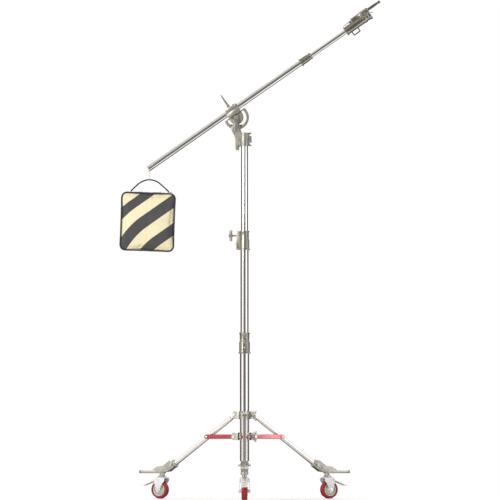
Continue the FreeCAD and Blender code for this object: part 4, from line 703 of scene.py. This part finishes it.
def dress_brace(leg):
    """Round bolt heads where the brace's bars meet the leg, and washers under them."""
    side = LegFrame(leg)
    inner_out, inner_up = side.at("brace_fold")
    length, droop = 178.01, math.radians(0.467)
    out, up = inner_out + length * math.cos(droop), inner_up - length * math.sin(droop)
    outline = ((0, 21.2), (6.6, 21.2), (6.6, 22), (5.2, 22), (5, 23.4), (3.8, 24.6), (0, 25))
    heads = bmesh.new()
    for sign in (-1, 1):
        add_turned(heads, outline, facing(side.axle(out, up), sign), 36, False)
    finished(f"{leg}_brace_bolt_heads", heads, f"{leg}_brace_link", "zinc_steel", 50)


# ------------------------------------------------------------------ column


def screw_head(name, body, matrix, radius=5, stand=3.5):
    """A slotted pan-head screw on a short spacer, whose face looks along the matrix's Z."""
    outline = ((0, -stand), (radius, -stand), (radius, 1), (radius - 0.8, 2), (radius - 2.2, 2.5), (0, 2.6))
    turned_piece(name, outline, matrix, body, "zinc_steel", 32, False, 50)
    # the slot is a dark bar on the head: painted shade standing in for the cut
    slot = add_block(bmesh.new(), matrix @ Matrix.Translation((0, 0, 2.3 * MM)), radius * 1.7, 0.9, 0.9)
    finished(name + "_slot", slot, body, "dark_steel")


def grip_rings(name, body, axis, centre, radius=7.4, at=22.5, length=9, count=3):
    """Fine grip ribs round both ends of a T-knob's arm."""
    bm = bmesh.new()
    for sign in (-1, 1):
        turned = basis(centre + axis * (sign * at * MM), *frame_round(axis))
        for step in range(count):
            level = (step - (count - 1) / 2) * length / count
            outline = ((radius - 0.6, level - 1), (radius + 0.5, level - 0.6),
                       (radius + 0.5, level + 0.6), (radius - 0.6, level + 1))
            add_turned(bm, outline, turned, 28)
    finished(name, bm, body, "cast_nickel", 40)


def frame_round(axis):
    """Three axes, the last of them along the given one."""
    first = axis.orthogonal().normalized()
    return first, axis.cross(first), axis


def dress_column():
    low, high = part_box("first_lock_collar")
    front = facing_front(Vector((0, low.y - 3 * MM, low.z + 33 * MM)))
    screw_head("first_collar_screw", "column", front)
    low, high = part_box("second_lock_collar")
    left = basis(Vector((low.x - 3 * MM, 0, low.z + 32 * MM)), UP, -BACK, -RIGHT)
    screw_head("second_collar_screw", "riser_1", left)
    for knob in ("first", "second"):
        low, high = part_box(f"{knob}_lock_knob")
        away = joint_axis(f"{knob}_knob_turn")
        tip = -low.y if abs(away.y) > 0.5 else -low.x
        centre = Vector((0, 0, (low.z + high.z) / 2)) + away * (tip - 12 * MM)
        grip_rings(f"{knob}_knob_grips", f"{knob}_knob", UP, centre)
    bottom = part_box("lower_tube")[0].z / MM
    plug = ((0, bottom - 3), (23.5, bottom - 3), (24.8, bottom - 1.5), (24.8, bottom - 0.05),
            (22.7, bottom - 0.05), (22.7, bottom + 5), (20.5, bottom + 5), (20.5, bottom + 2),
            (0, bottom + 2))
    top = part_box("upper_tube")[1].z / MM
    cap = ((0, top + 2.4), (14, top + 2.4), (18, top + 1.2), (18.6, top + 0.05), (17, top + 0.05),
           (17, top - 14), (15, top - 14), (15, top), (0, top))
    for name, outline, body in (("column_plug", plug, "column"), ("upper_tube_cap", cap, "riser_2")):
        turned_piece(name, outline, Matrix.Identity(4), body, "black_rubber", 64, False)


def dress_head():
    """Tick marks on the sector, raised ribs on the bracket, and dark socket faces on the bolts, painted shade
    standing in for the sockets.
    """
    ticks = bmesh.new()
    for sign in (-1, 1):
        for step in range(15):
            angle = math.radians(-105 + 15 * step)
            long = 7 if step % 3 == 1 else 4.5
            reach = 66.5 - long / 2
            place = on_boom(reach * math.sin(angle), sign * 4.85, -reach * math.cos(angle))
            out = (ALONG * math.sin(angle) - BOOM_UP * math.cos(angle)).normalized()
            turned = basis(place, out, out.cross(BACK), BACK)
            add_block(ticks, turned, long, 1.0, 0.7, 0.15)
    finished("sector_ticks", ticks, "clamp", "pale_casting")
    sector_rim = bmesh.new()
    for sign in (-1, 1):
        for reach in (54.6, 38):
            arc = [on_boom(reach * math.sin(angle), sign * 4.6, -reach * math.cos(angle))
                   for angle in swept(-98, 196, 40)]
            add_tube(sector_rim, arc, 0.9 * MM, 8)
    finished("sector_slot_lips", sector_rim, "clamp", "cast_nickel", 60)

    ribs = bmesh.new()
    runs = (((-24, -52), (-21, -66), (-13, -84), (-2, -104), (4, -126), (5, -158)),
            ((-12, -56), (-9, -72), (0, -92), (9, -112), (15, -132), (16, -156)),
            ((8, -58), (14, -74), (21, -92), (26, -112)))
    for sign in (-1, 1):
        for run in runs:
            points = [PIVOT + Vector((x, 0, z)) * MM + BACK * (sign * 13.9 * MM) for x, z in run]
            add_tube(ribs, smooth_points(points), 1.5 * MM, 8)
    # the bracket ribs take the darker casting copy too: painted shade
    finished("bracket_ribs", ribs, "head", "dark_casting", 60)
    foot = PIVOT + Vector((6, 0, -170)) * MM
    outline = ((0, 14), (7, 14), (7, 15.4), (6, 16.2), (4, 16.2), (3.4, 15), (0, 15))
    # the lower boss takes the paler casting finish as a painted highlight
    turned_piece("bracket_lower_boss", outline, facing_front(foot), "head", "pale_casting", 36, False)
    # dark hexagons on the bolt heads: painted shade standing in for their sockets
    sockets = bmesh.new()
    for drop, size, level in ((0, 8.4, 16.3), (46, 3.6, 17.3)):
        add_hexagon(sockets, size, 0.6, facing_front(PIVOT + Vector((0, -level, -drop)) * MM), 0.1)
    finished("head_bolt_socket_shades", sockets, "head", "dark_steel")
    knurl = bmesh.new()
    centre = joint_at("head_knob_turn")
    for angle in around(30):
        out = Vector((0, math.cos(angle), math.sin(angle)))
        place = Vector((34 * MM, 0, centre.z)) + out * 17.5 * MM
        turned = basis(place, RIGHT, out.cross(RIGHT), out)
        add_block(knurl, turned, 6.4, 1.9, 1.5, 0.4)
    finished("head_knob_knurl", knurl, "head_knob", "cast_nickel")


def dress_boom():
    axis = BOOM_AXIS_UP
    turned = basis(on_boom(0, 0, axis), BOOM_UP, -BACK, ALONG)
    sleeve = bmesh.new()
    for level in (486, 489.5, 493):
        outline = ((19.2, level - 0.9), (20.1, level - 0.5), (20.1, level + 0.5), (19.2, level + 0.9))
        add_turned(sleeve, outline, turned, 56)
    finished("sleeve_grip_rings", sleeve, "boom_outer", "cast_nickel", 50)
    outline = ((13.15, 530.6), (18, 530.6), (17.6, 532), (13.15, 532))
    turned_piece("sleeve_gasket", outline, turned, "boom_outer", "black_rubber")

    # boom head: welds at the loop's feet, a socket screw on the side and a release rod at the mouth
    welds = bmesh.new()
    for along in (790, 830):
        ring = [on_boom(along + 3.3 * math.cos(angle), 3.3 * math.sin(angle), axis - 23.2)
                for angle in around(20)]
        add_tube(welds, ring, 1.2 * MM, 8, closed=True)
    finished("loop_welds", welds, "boom_inner", "bright_casting", 60)
    coat = bmesh.new()
    low = axis - 43.5
    corners = ((790, axis - 25), (790, low + 3.2), (791, low + 1), (793.2, low),
               (826.8, low), (829, low + 1), (830, low + 3.2), (830, axis - 25))
    add_tube(coat, smooth_points([on_boom(along, 0, up) for along, up in corners], 6), 3.1 * MM, 12)
    finished("loop_rubber_coat", coat, "boom_inner", "black_rubber", 60)
    side = basis(on_boom(909, 0, axis + 15.5), ALONG, BOOM_UP, -BACK)
    outline = ((0, 10), (8.6, 10), (8.6, 21.5), (7.8, 22.5), (5.4, 22.5), (4.8, 20.8), (0, 20.8))
    turned_piece("receiver_screw_boss", outline, side, "boom_inner", "pale_casting", 40, False)
    # the socket is a dark hexagon on the screw: painted shade standing in for the recess
    screw = add_hexagon(bmesh.new(), 4.6, 0.8, side @ Matrix.Translation((0, 0, 20.7 * MM)), 0.1)
    finished("receiver_screw_socket_shade", screw, "boom_inner", "dark_steel")
    mouth = HEAD_END
    rod = bmesh.new()
    bends = ((-8, 9), (2, 8.5), (12, 4), (18, 3))
    run = [on_boom(mouth + along, 20, axis + up) for along, up in bends]
    add_tube(rod, smooth_points(run), 1.9 * MM, 10)
    finished("receiver_release_rod", rod, "boom_inner", "dark_steel", 60)
    outline = ((14.4, mouth - 0.2), (15, mouth + 0.8), (17.4, mouth + 0.8), (18, mouth - 0.2))
    turned_piece("receiver_lip", outline, turned, "boom_inner", "pale_casting", 56, smooth=50)
    holder = basis(on_boom(0, 0, axis + 29), BOOM_UP, -BACK, ALONG)
    outline = ((8.1, 929.7), (12, 929.7), (12, 931), (11, 932.4), (8.1, 932.4))
    turned_piece("pin_collar", outline, holder, "boom_inner", "pale_casting", 40, smooth=40)


# ------------------------------------------------------------------ sandbag

BAG_LOW, BAG_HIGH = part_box("sandbag")
BAG_TILT = Matrix.Rotation(math.radians(2), 4, "Y")
BAG_WIDE, BAG_TALL, BAG_DEEP, BAG_CORNER = 0.301, 0.325, 0.084, 0.031
BAG = Matrix.Translation((BAG_LOW + BAG_HIGH) / 2) @ BAG_TILT


def rounded_square(wide, tall, corner, steps=10):
    """Points round an upright rounded rectangle, as (across, up)."""
    points = []
    for index, (sx, sz) in enumerate(((1, 1), (-1, 1), (-1, -1), (1, -1))):
        centre = Vector((sx * (wide / 2 - corner), sz * (tall / 2 - corner)))
        for step in range(steps + 1):
            angle = math.radians(90 * index + 90 * step / steps)
            points.append(centre + Vector((math.cos(angle), math.sin(angle))) * corner)
    return points


def evened(points, count):
    """The same closed run with evenly spaced points."""
    lengths = [0.0]
    loop = [*points, points[0]]
    for first, second in zip(loop, loop[1:]):
        lengths.append(lengths[-1] + (second - first).length)
    even, at = [], 0
    for step in range(count):
        want = lengths[-1] * step / count
        while lengths[at + 1] < want:
            at += 1
        share = (want - lengths[at]) / max(lengths[at + 1] - lengths[at], 1e-9)
        even.append(loop[at].lerp(loop[at + 1], share))
    return even


def bag_shell():
    """The slack cover before it is filled: two crowned panels and a gusset."""
    bm = bmesh.new()
    count, shrink = 144, 0.008
    rim = evened(rounded_square(BAG_WIDE - shrink, BAG_TALL - shrink, BAG_CORNER - 0.003), count)
    layers = []
    for depth in (-1, -0.5, 0, 0.5, 1):
        bow = 1 - 0.008 * (1 - depth * depth)
        layers.append([bm.verts.new((p.x * bow, depth * BAG_DEEP * 0.36, p.y * bow)) for p in rim])
    for first, second in zip(layers, layers[1:]):
        join_rings(bm, first, second)
    for sign, ring in ((-1, layers[0]), (1, layers[-1])):
        for share in (0.93, 0.82, 0.66, 0.45, 0.22):
            crown = (1 - share ** 4) * 0.1
            inner = [bm.verts.new((p.x * share, sign * BAG_DEEP * (0.36 + crown), p.y * share)) for p in rim]
            join_rings(bm, ring, inner)
            ring = inner
        top = bm.verts.new((0, sign * BAG_DEEP * 0.46, 0))
        for index in range(count):
            bm.faces.new((ring[index], ring[(index + 1) % count], top))
    bmesh.ops.recalc_face_normals(bm, faces=bm.faces)
    mesh = bpy.data.meshes.new("sandbag_cover")
    bm.to_mesh(mesh)
    bm.free()
    return mesh


def sag(place):
    """Where sand settles: the lower part swells and the upper part goes slack."""
    low = 0.5 - place.z / BAG_TALL
    return 0.72 + 0.36 * low


def simulate(obj, frames=18, pressure=3.2, cap=0.009):
    """Fills the shell: a short cloth run with pressure, then a cap on how far each point moved."""
    remesh = obj.modifiers.new("even", "REMESH")
    remesh.mode = "VOXEL"
    remesh.voxel_size = 0.0055
    bpy.context.view_layer.objects.active = obj
    graph = bpy.context.evaluated_depsgraph_get()
    obj.data = bpy.data.meshes.new_from_object(obj.evaluated_get(graph))
    obj.modifiers.clear()
    start = [vert.co.copy() for vert in obj.data.vertices]
    cloth = obj.modifiers.new("cloth", "CLOTH")
    canvas = {"quality": 4, "mass": 0.4, "tension_stiffness": 22, "compression_stiffness": 22,
              "bending_stiffness": 1.2, "use_pressure": True, "uniform_pressure_force": pressure}
    for key, value in canvas.items():
        setattr(cloth.settings, key, value)
    cloth.settings.effector_weights.gravity = 0.0
    cloth.point_cache.frame_start = 1
    cloth.point_cache.frame_end = frames
    scene = bpy.context.scene
    for number in range(1, frames + 1):
        scene.frame_set(number)
    graph = bpy.context.evaluated_depsgraph_get()
    filled = bpy.data.meshes.new_from_object(obj.evaluated_get(graph))
    obj.modifiers.clear()
    scene.frame_set(1)
    for vert, first in zip(filled.vertices, start):
        move = vert.co - first
        reach = cap * sag(first)
        if move.length > reach:
            move *= reach / move.length
        vert.co = first + move
    obj.data = filled


def crease(mesh):
    """Puckers along the seams and soft folds where the sand pulls down from the handle."""
    mesh.update()
    normals = [vert.normal.copy() for vert in mesh.vertices]
    for vert, normal in zip(mesh.vertices, normals):
        x, y, z = vert.co
        edge = min(BAG_WIDE / 2 - abs(x), BAG_TALL / 2 - abs(z))
        face = max(0.0, abs(normal.y) - 0.3) / 0.7
        run = x if abs(z) > abs(x) else z
        pucker = math.exp(-((edge - 0.012) / 0.010) ** 2) * math.sin(260 * run + 2.1 * y / 0.04)
        fold = math.exp(-((z - 0.11) / 0.055) ** 2) * math.sin(46 * x + 9 * z) * 0.0011
        slump = 0.0008 * math.sin(31 * x - 17 * z + 0.8) * math.sin(23 * z + 1.3)
        seam = -0.0022 * math.exp(-(x / 0.006) ** 2) * face
        vert.co += normal * (0.0006 * pucker * face + (fold + slump) * face + seam)


def make_sandbag():
    obj = bpy.data.objects.new("sandbag_cover", bag_shell())
    bpy.context.scene.collection.objects.link(obj)
    simulate(obj)
    crease(obj.data)
    smooth = obj.modifiers.new("smooth", "SUBSURF")
    smooth.levels = smooth.render_levels = 1
    obj.data.shade_smooth()
    surface = BVHTree.FromObject(obj, bpy.context.evaluated_depsgraph_get())
    obj.matrix_world = BAG
    paint(obj, striped_canvas("striped_canvas"))
    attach(obj, "bag")
    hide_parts("sandbag", "sand_pouches")

    # binding: a rolled edge round each panel, and its running stitch
    binding, stitches = bmesh.new(), bmesh.new()
    lines = []
    for sign in (-1, 1):
        rim = evened(rounded_square(BAG_WIDE - 0.004, BAG_TALL - 0.004, BAG_CORNER), 240)
        outline = []
        for point in rim:
            outer = Vector((point.x, sign * BAG_DEEP * 0.42, point.y))
            found = surface.find_nearest(outer)[0]
            outline.append(found.lerp(Vector((point.x, found.y, point.y)), 0.75))
        add_tube(binding, outline, 0.0043, 10, closed=True)
        inner = evened(rounded_square(BAG_WIDE - 0.026, BAG_TALL - 0.026, BAG_CORNER - 0.010), 300)
        lines.append([surface.find_nearest(Vector((p.x, sign * 0.06, p.y))) for p in inner])
    for line in lines:
        for index in range(0, len(line), 2):
            (first, normal, *_), (second, *_) = line[index], line[(index + 1) % len(line)]
            gap = (second - first) * 0.14
            add_tube(stitches, [first + gap + normal * 0.0001, (first + second) / 2 + normal * 0.0006,
                                second - gap + normal * 0.0001], 0.00045, 6)
    for name, bm, look in (("sandbag_binding", binding, "binding"),
                           ("sandbag_stitches", stitches, "dark_thread")):
        bmesh.ops.transform(bm, matrix=BAG, verts=bm.verts)
        piece = finished(name, bm, "bag", look, 70)
        piece.data.shade_smooth()
    make_zip(surface)


def make_zip(surface):
    """The filling zip along the top gusset, with its tape, teeth and pull."""
    tape, teeth = bmesh.new(), bmesh.new()
    strip = []
    for step in range(31):
        x = -0.105 + 0.21 * step / 30
        found, normal, *_ = surface.find_nearest(Vector((x, 0, BAG_TALL / 2 + 0.02)))
        strip.append((found, normal))
    rows = []
    section = ((-0.014, -0.0005), (-0.014, 0.0006), (0.014, 0.0006), (0.014, -0.0005))
    for found, normal in strip:
        rows.append([tape.verts.new(found + normal * lift + Vector((0, across, 0)))
                     for across, lift in section])
    for first, second in zip(rows, rows[1:]):
        join_rings(tape, first, second)
    tape.faces.new(rows[0])
    tape.faces.new(list(reversed(rows[-1])))
    for step in range(84):
        share = step / 83 * 29
        at = int(share)
        place = strip[at][0].lerp(strip[at + 1][0], share - at) + strip[at][1] * 0.0012
        add_block(teeth, Matrix.Translation(place), 1.2, 4.6, 1.4, 0.2)
    pull = strip[24][0] + strip[24][1] * 0.0034
    add_block(teeth, Matrix.Translation(pull), 9, 7, 3.2, 0.8)
    add_block(teeth, Matrix.Translation(pull + Vector((0.013, 0, 0.0004))), 18, 4, 1.4, 0.5)
    for name, bm, look in (("sandbag_zip_tape", tape, "binding"), ("sandbag_zip_teeth", teeth, "dark_steel")):
        bmesh.ops.transform(bm, matrix=BAG, verts=bm.verts)
        finished(name, bm, "bag", look, 40)


def make_handle():
    """The webbing handle: one band with rolled edges, tacked to the bag's top at both ends."""
    low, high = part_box("bag_handle")
    hook = joint_at("hook_swing")
    width, thick = high.y - low.y, 0.0072
    top = high.z - 0.0045 + thick / 2
    line = [Vector((low.x + 0.003, 0, low.z + 0.0075)), Vector((-0.597, 0, 1.722)),
            Vector((-0.566, 0, 1.7455)), Vector((hook.x, 0, top)), Vector((-0.482, 0, 1.7465)),
            Vector((-0.450, 0, 1.7215)), Vector((high.x - 0.0035, 0, low.z + 0.004))]
    run = smooth_points(line, 12)
    band = bmesh.new()
    half = width / 2 - 0.0006
    section = [(-half, -0.35), (-half, 0.35), (-half + 0.0012, 0.5), (-half + 0.0035, 0.42), (0, 0.5),
               (half - 0.0035, 0.42), (half - 0.0012, 0.5), (half, 0.35), (half, -0.35),
               (half - 0.0012, -0.5), (0, -0.46), (-half + 0.0012, -0.5)]
    rows = []
    for index, point in enumerate(run):
        along = (run[min(index + 1, len(run) - 1)] - run[max(index - 1, 0)]).normalized()
        across = Vector((-along.z, 0, along.x))
        ripple = 0.00025 * math.sin(index * 2.1)
        rows.append([band.verts.new(point + Vector((0, y, 0)) + across * (thick * lift + ripple))
                     for y, lift in section])
    for first, second in zip(rows, rows[1:]):
        join_rings(band, first, second)
    band.faces.new(rows[0])
    band.faces.new(list(reversed(rows[-1])))
    handle = finished("handle_webbing", band, "bag", "webbing", 45)
    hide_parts("bag_handle")
    patches = bmesh.new()
    for end in (run[0], run[-1]):
        away = RIGHT if end.x < hook.x else -RIGHT
        place = end + Vector((0, 0, -0.0035)) - away * 0.006
        add_block(patches, Matrix.Translation(place) @ BAG_TILT, 26, width / MM + 2, 2.4, 0.8)
    finished("handle_end_patches", patches, "bag", "webbing", 45)
    tacks = bmesh.new()
    for sign in (-1, 1):
        for first, second in zip(run, run[1:]):
            for share in (0.1, 0.6):
                start = first.lerp(second, share)
                end = first.lerp(second, share + 0.3)
                along = (second - first).normalized()
                across = Vector((-along.z, 0, along.x))
                lift = across * (thick * 0.5 + 0.0001) + Vector((0, sign * (half - 0.004), 0))
                add_tube(tacks, [start + lift, end + lift], 0.0004, 5)
    finished("handle_stitches", tacks, "bag", "dark_thread", 60)


# ------------------------------------------------------------------ studio


def make_world():
    """A white studio with a dark wall behind the object and a dark gap in front, where the crew stands.

    Straight views see plain white; only reflections and the light itself come from the walls."""
    world = bpy.data.worlds.new("studio")
    bpy.context.scene.world = world
    world.use_nodes = True
    world.node_tree.nodes.clear()
    wires = Wires(world.node_tree)
    x, y, z = wires.add("SeparateXYZ", {0: wires.add("TexCoord").outputs["Generated"]}).outputs
    turn = wires.math("ABSOLUTE", wires.math("ARCTAN2", x, wires.math("MULTIPLY", y, -1.0)))
    steep = wires.math("ABSOLUTE", z)

    # the gap in front
    edge = wires.math("MULTIPLY_ADD", steep, 0.42, 0.48)
    gap = wires.fade(wires.math("SUBTRACT", turn, edge), 0.06, 0.0)
    gap = wires.math("MULTIPLY", gap, wires.fade(z, -0.64, -0.50))
    gap = wires.math("MULTIPLY", gap, wires.fade(z, 0.62, 0.36))

    # the wall behind, which the floor in front and the ceiling hide higher up and lower down
    right = wires.remap(x, 0.0, 1.0, -0.1, 0.1)
    level = wires.remap(z, 1.0, 0.0, -0.25, -0.02)
    near = wires.math("MULTIPLY", right, wires.math("SUBTRACT", 1.0, level))
    edge = wires.math("MULTIPLY_ADD", level, 0.20, -0.12)
    edge = wires.math("MULTIPLY_ADD", near, -0.05, edge)
    wall = wires.fade(wires.math("SUBTRACT", y, edge), -0.03, 0.04)
    wall = wires.math("MULTIPLY", wall, wires.fade(z, 0.26, 0.08))
    over = wires.fade(y, 0.28, 0.36)
    over = wires.math("MULTIPLY", over, wires.fade(z, 0.62, 0.72))
    zenith = wires.math("MAXIMUM", over, wires.fade(z, 0.85, 0.92))

    # a black flag high on the left, which only what slopes like the boom mirrors
    flag = wires.fade(z, 0.22, 0.36)
    flag = wires.math("MULTIPLY", flag, wires.fade(y, 0.10, -0.10))
    flag = wires.math("MULTIPLY", flag, wires.fade(x, -0.04, -0.14))
    flag = wires.math("MULTIPLY", flag, wires.remap(x, 0.0, 0.5, -0.80, -0.66, "SMOOTHSTEP"))

    ceiling = wires.fade(z, 0.24, 0.40)
    colour = wires.mix(ceiling, (1.0, 0.99, 0.97), (0.88, 0.87, 0.86))
    shade = wires.mix(wires.fade(z, 0.45, 0.82), (0.155, 0.142, 0.13), (0.34, 0.325, 0.31))
    colour = wires.mix(flag, colour, shade)
    colour = wires.mix(gap, colour, (0.155, 0.142, 0.13))
    dark = wires.mix(near, (0.07, 0.068, 0.065), (0.10, 0.097, 0.094))
    colour = wires.mix(wall, colour, dark)
    colour = wires.mix(zenith, colour, (0.25, 0.22, 0.19))
    direct = wires.add("LightPath").outputs["Is Camera Ray"]
    studio = wires.add("Background", {"Color": colour, "Strength": 1.12})
    plain = wires.add("Background", {"Color": (1, 1, 1, 1), "Strength": 1.0})
    shown = wires.add("MixShader", {0: direct, 1: studio.outputs[0], 2: plain.outputs[0]})
    wires.add("OutputWorld", {"Surface": shown.outputs[0]})


def make_studio():
    floor = bpy.data.meshes.new("floor")
    corners = [(-1.5, -1.2, 0), (1.5, -1.2, 0), (1.5, 1.4, 0), (-1.5, 1.4, 0)]
    floor.from_pydata(corners, [], [(0, 1, 2, 3)])
    ground = bpy.data.objects.new("floor", floor)
    ground.location.z = -0.0005
    bpy.context.scene.collection.objects.link(ground)
    shader = Shader("floor", Roughness=0.9)
    far = shader.add("VectorMath", {0: shader.place}, operation="LENGTH").outputs["Value"]
    path = shader.add("LightPath").outputs
    direct = path["Is Camera Ray"]
    behind = shader.add("SeparateXYZ", {0: shader.place}).outputs[1]
    behind = shader.fade(behind, 0.12, 0.24)
    behind = shader.math("MULTIPLY", behind, path["Is Glossy Ray"])
    unseen = shader.mix(behind, (0.85, 0.84, 0.82), (0.06, 0.058, 0.056))
    shader.colour(shader.mix(direct, unseen, (0.93, 0.93, 0.93)))
    glow = shader.math("MULTIPLY", direct, shader.remap(far, 0.12, 1.0, 0.65, 1.15, "SMOOTHSTEP"))
    shader.tree.links.new(glow, shader.bsdf.inputs["Emission Strength"])
    shader.bsdf.inputs["Emission Color"].default_value = (1, 1, 1, 1)
    floor.materials.append(shader.material)
    make_world()
    middle = Vector((0, 0, 1.1))
    brace = (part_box("right_brace")[0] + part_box("right_brace")[1]) / 2
    for name, place, aim, power, size in (
        ("key", (4.3, -2.5, 0.9), middle, 8, 2.0),
        ("fill", (-3.0, -3.9, 2.6), middle, 148, 2.2),
        ("back", (0.5, 4.5, 4.2), middle, 40, 2.6),
        ("kicker", (1.86, -0.93, 0.5), brace, 32, 1.2),
    ):
        data = bpy.data.lights.new(name, "AREA")
        data.energy = power
        data.size = size
        lamp = bpy.data.objects.new(name, data)
        lamp.location = place
        lamp.rotation_euler = (aim - Vector(place)).to_track_quat("-Z", "Y").to_euler()
        lamp.visible_camera = False
        if name == "kicker":
            lit = bpy.data.collections.new("kicker_lit")
            lit.objects.link(NODES["right_brace"])
            lamp.light_linking.receiver_collection = lit
        bpy.context.scene.collection.objects.link(lamp)
    data = bpy.data.cameras.new("camera")
    camera = bpy.data.objects.new("camera", data)
    bpy.context.scene.collection.objects.link(camera)
    distance, framed = 126.0, 2.75
    data.sensor_width = 36.0
    data.lens = data.sensor_width * distance / framed
    data.clip_end = 300.0
    camera.location = (0.03, -distance, 1.3705)
    camera.rotation_euler = (math.pi / 2, 0, 0)
    bpy.context.scene.camera = camera
    bpy.context.scene.view_settings.view_transform = "Standard"


dress_cad_nodes()
for leg_name in LEGS:
    dress_caster(leg_name)
    dress_foot(leg_name)
    dress_brace(leg_name)
dress_column()
dress_head()
dress_boom()
make_sandbag()
make_handle()
make_studio()
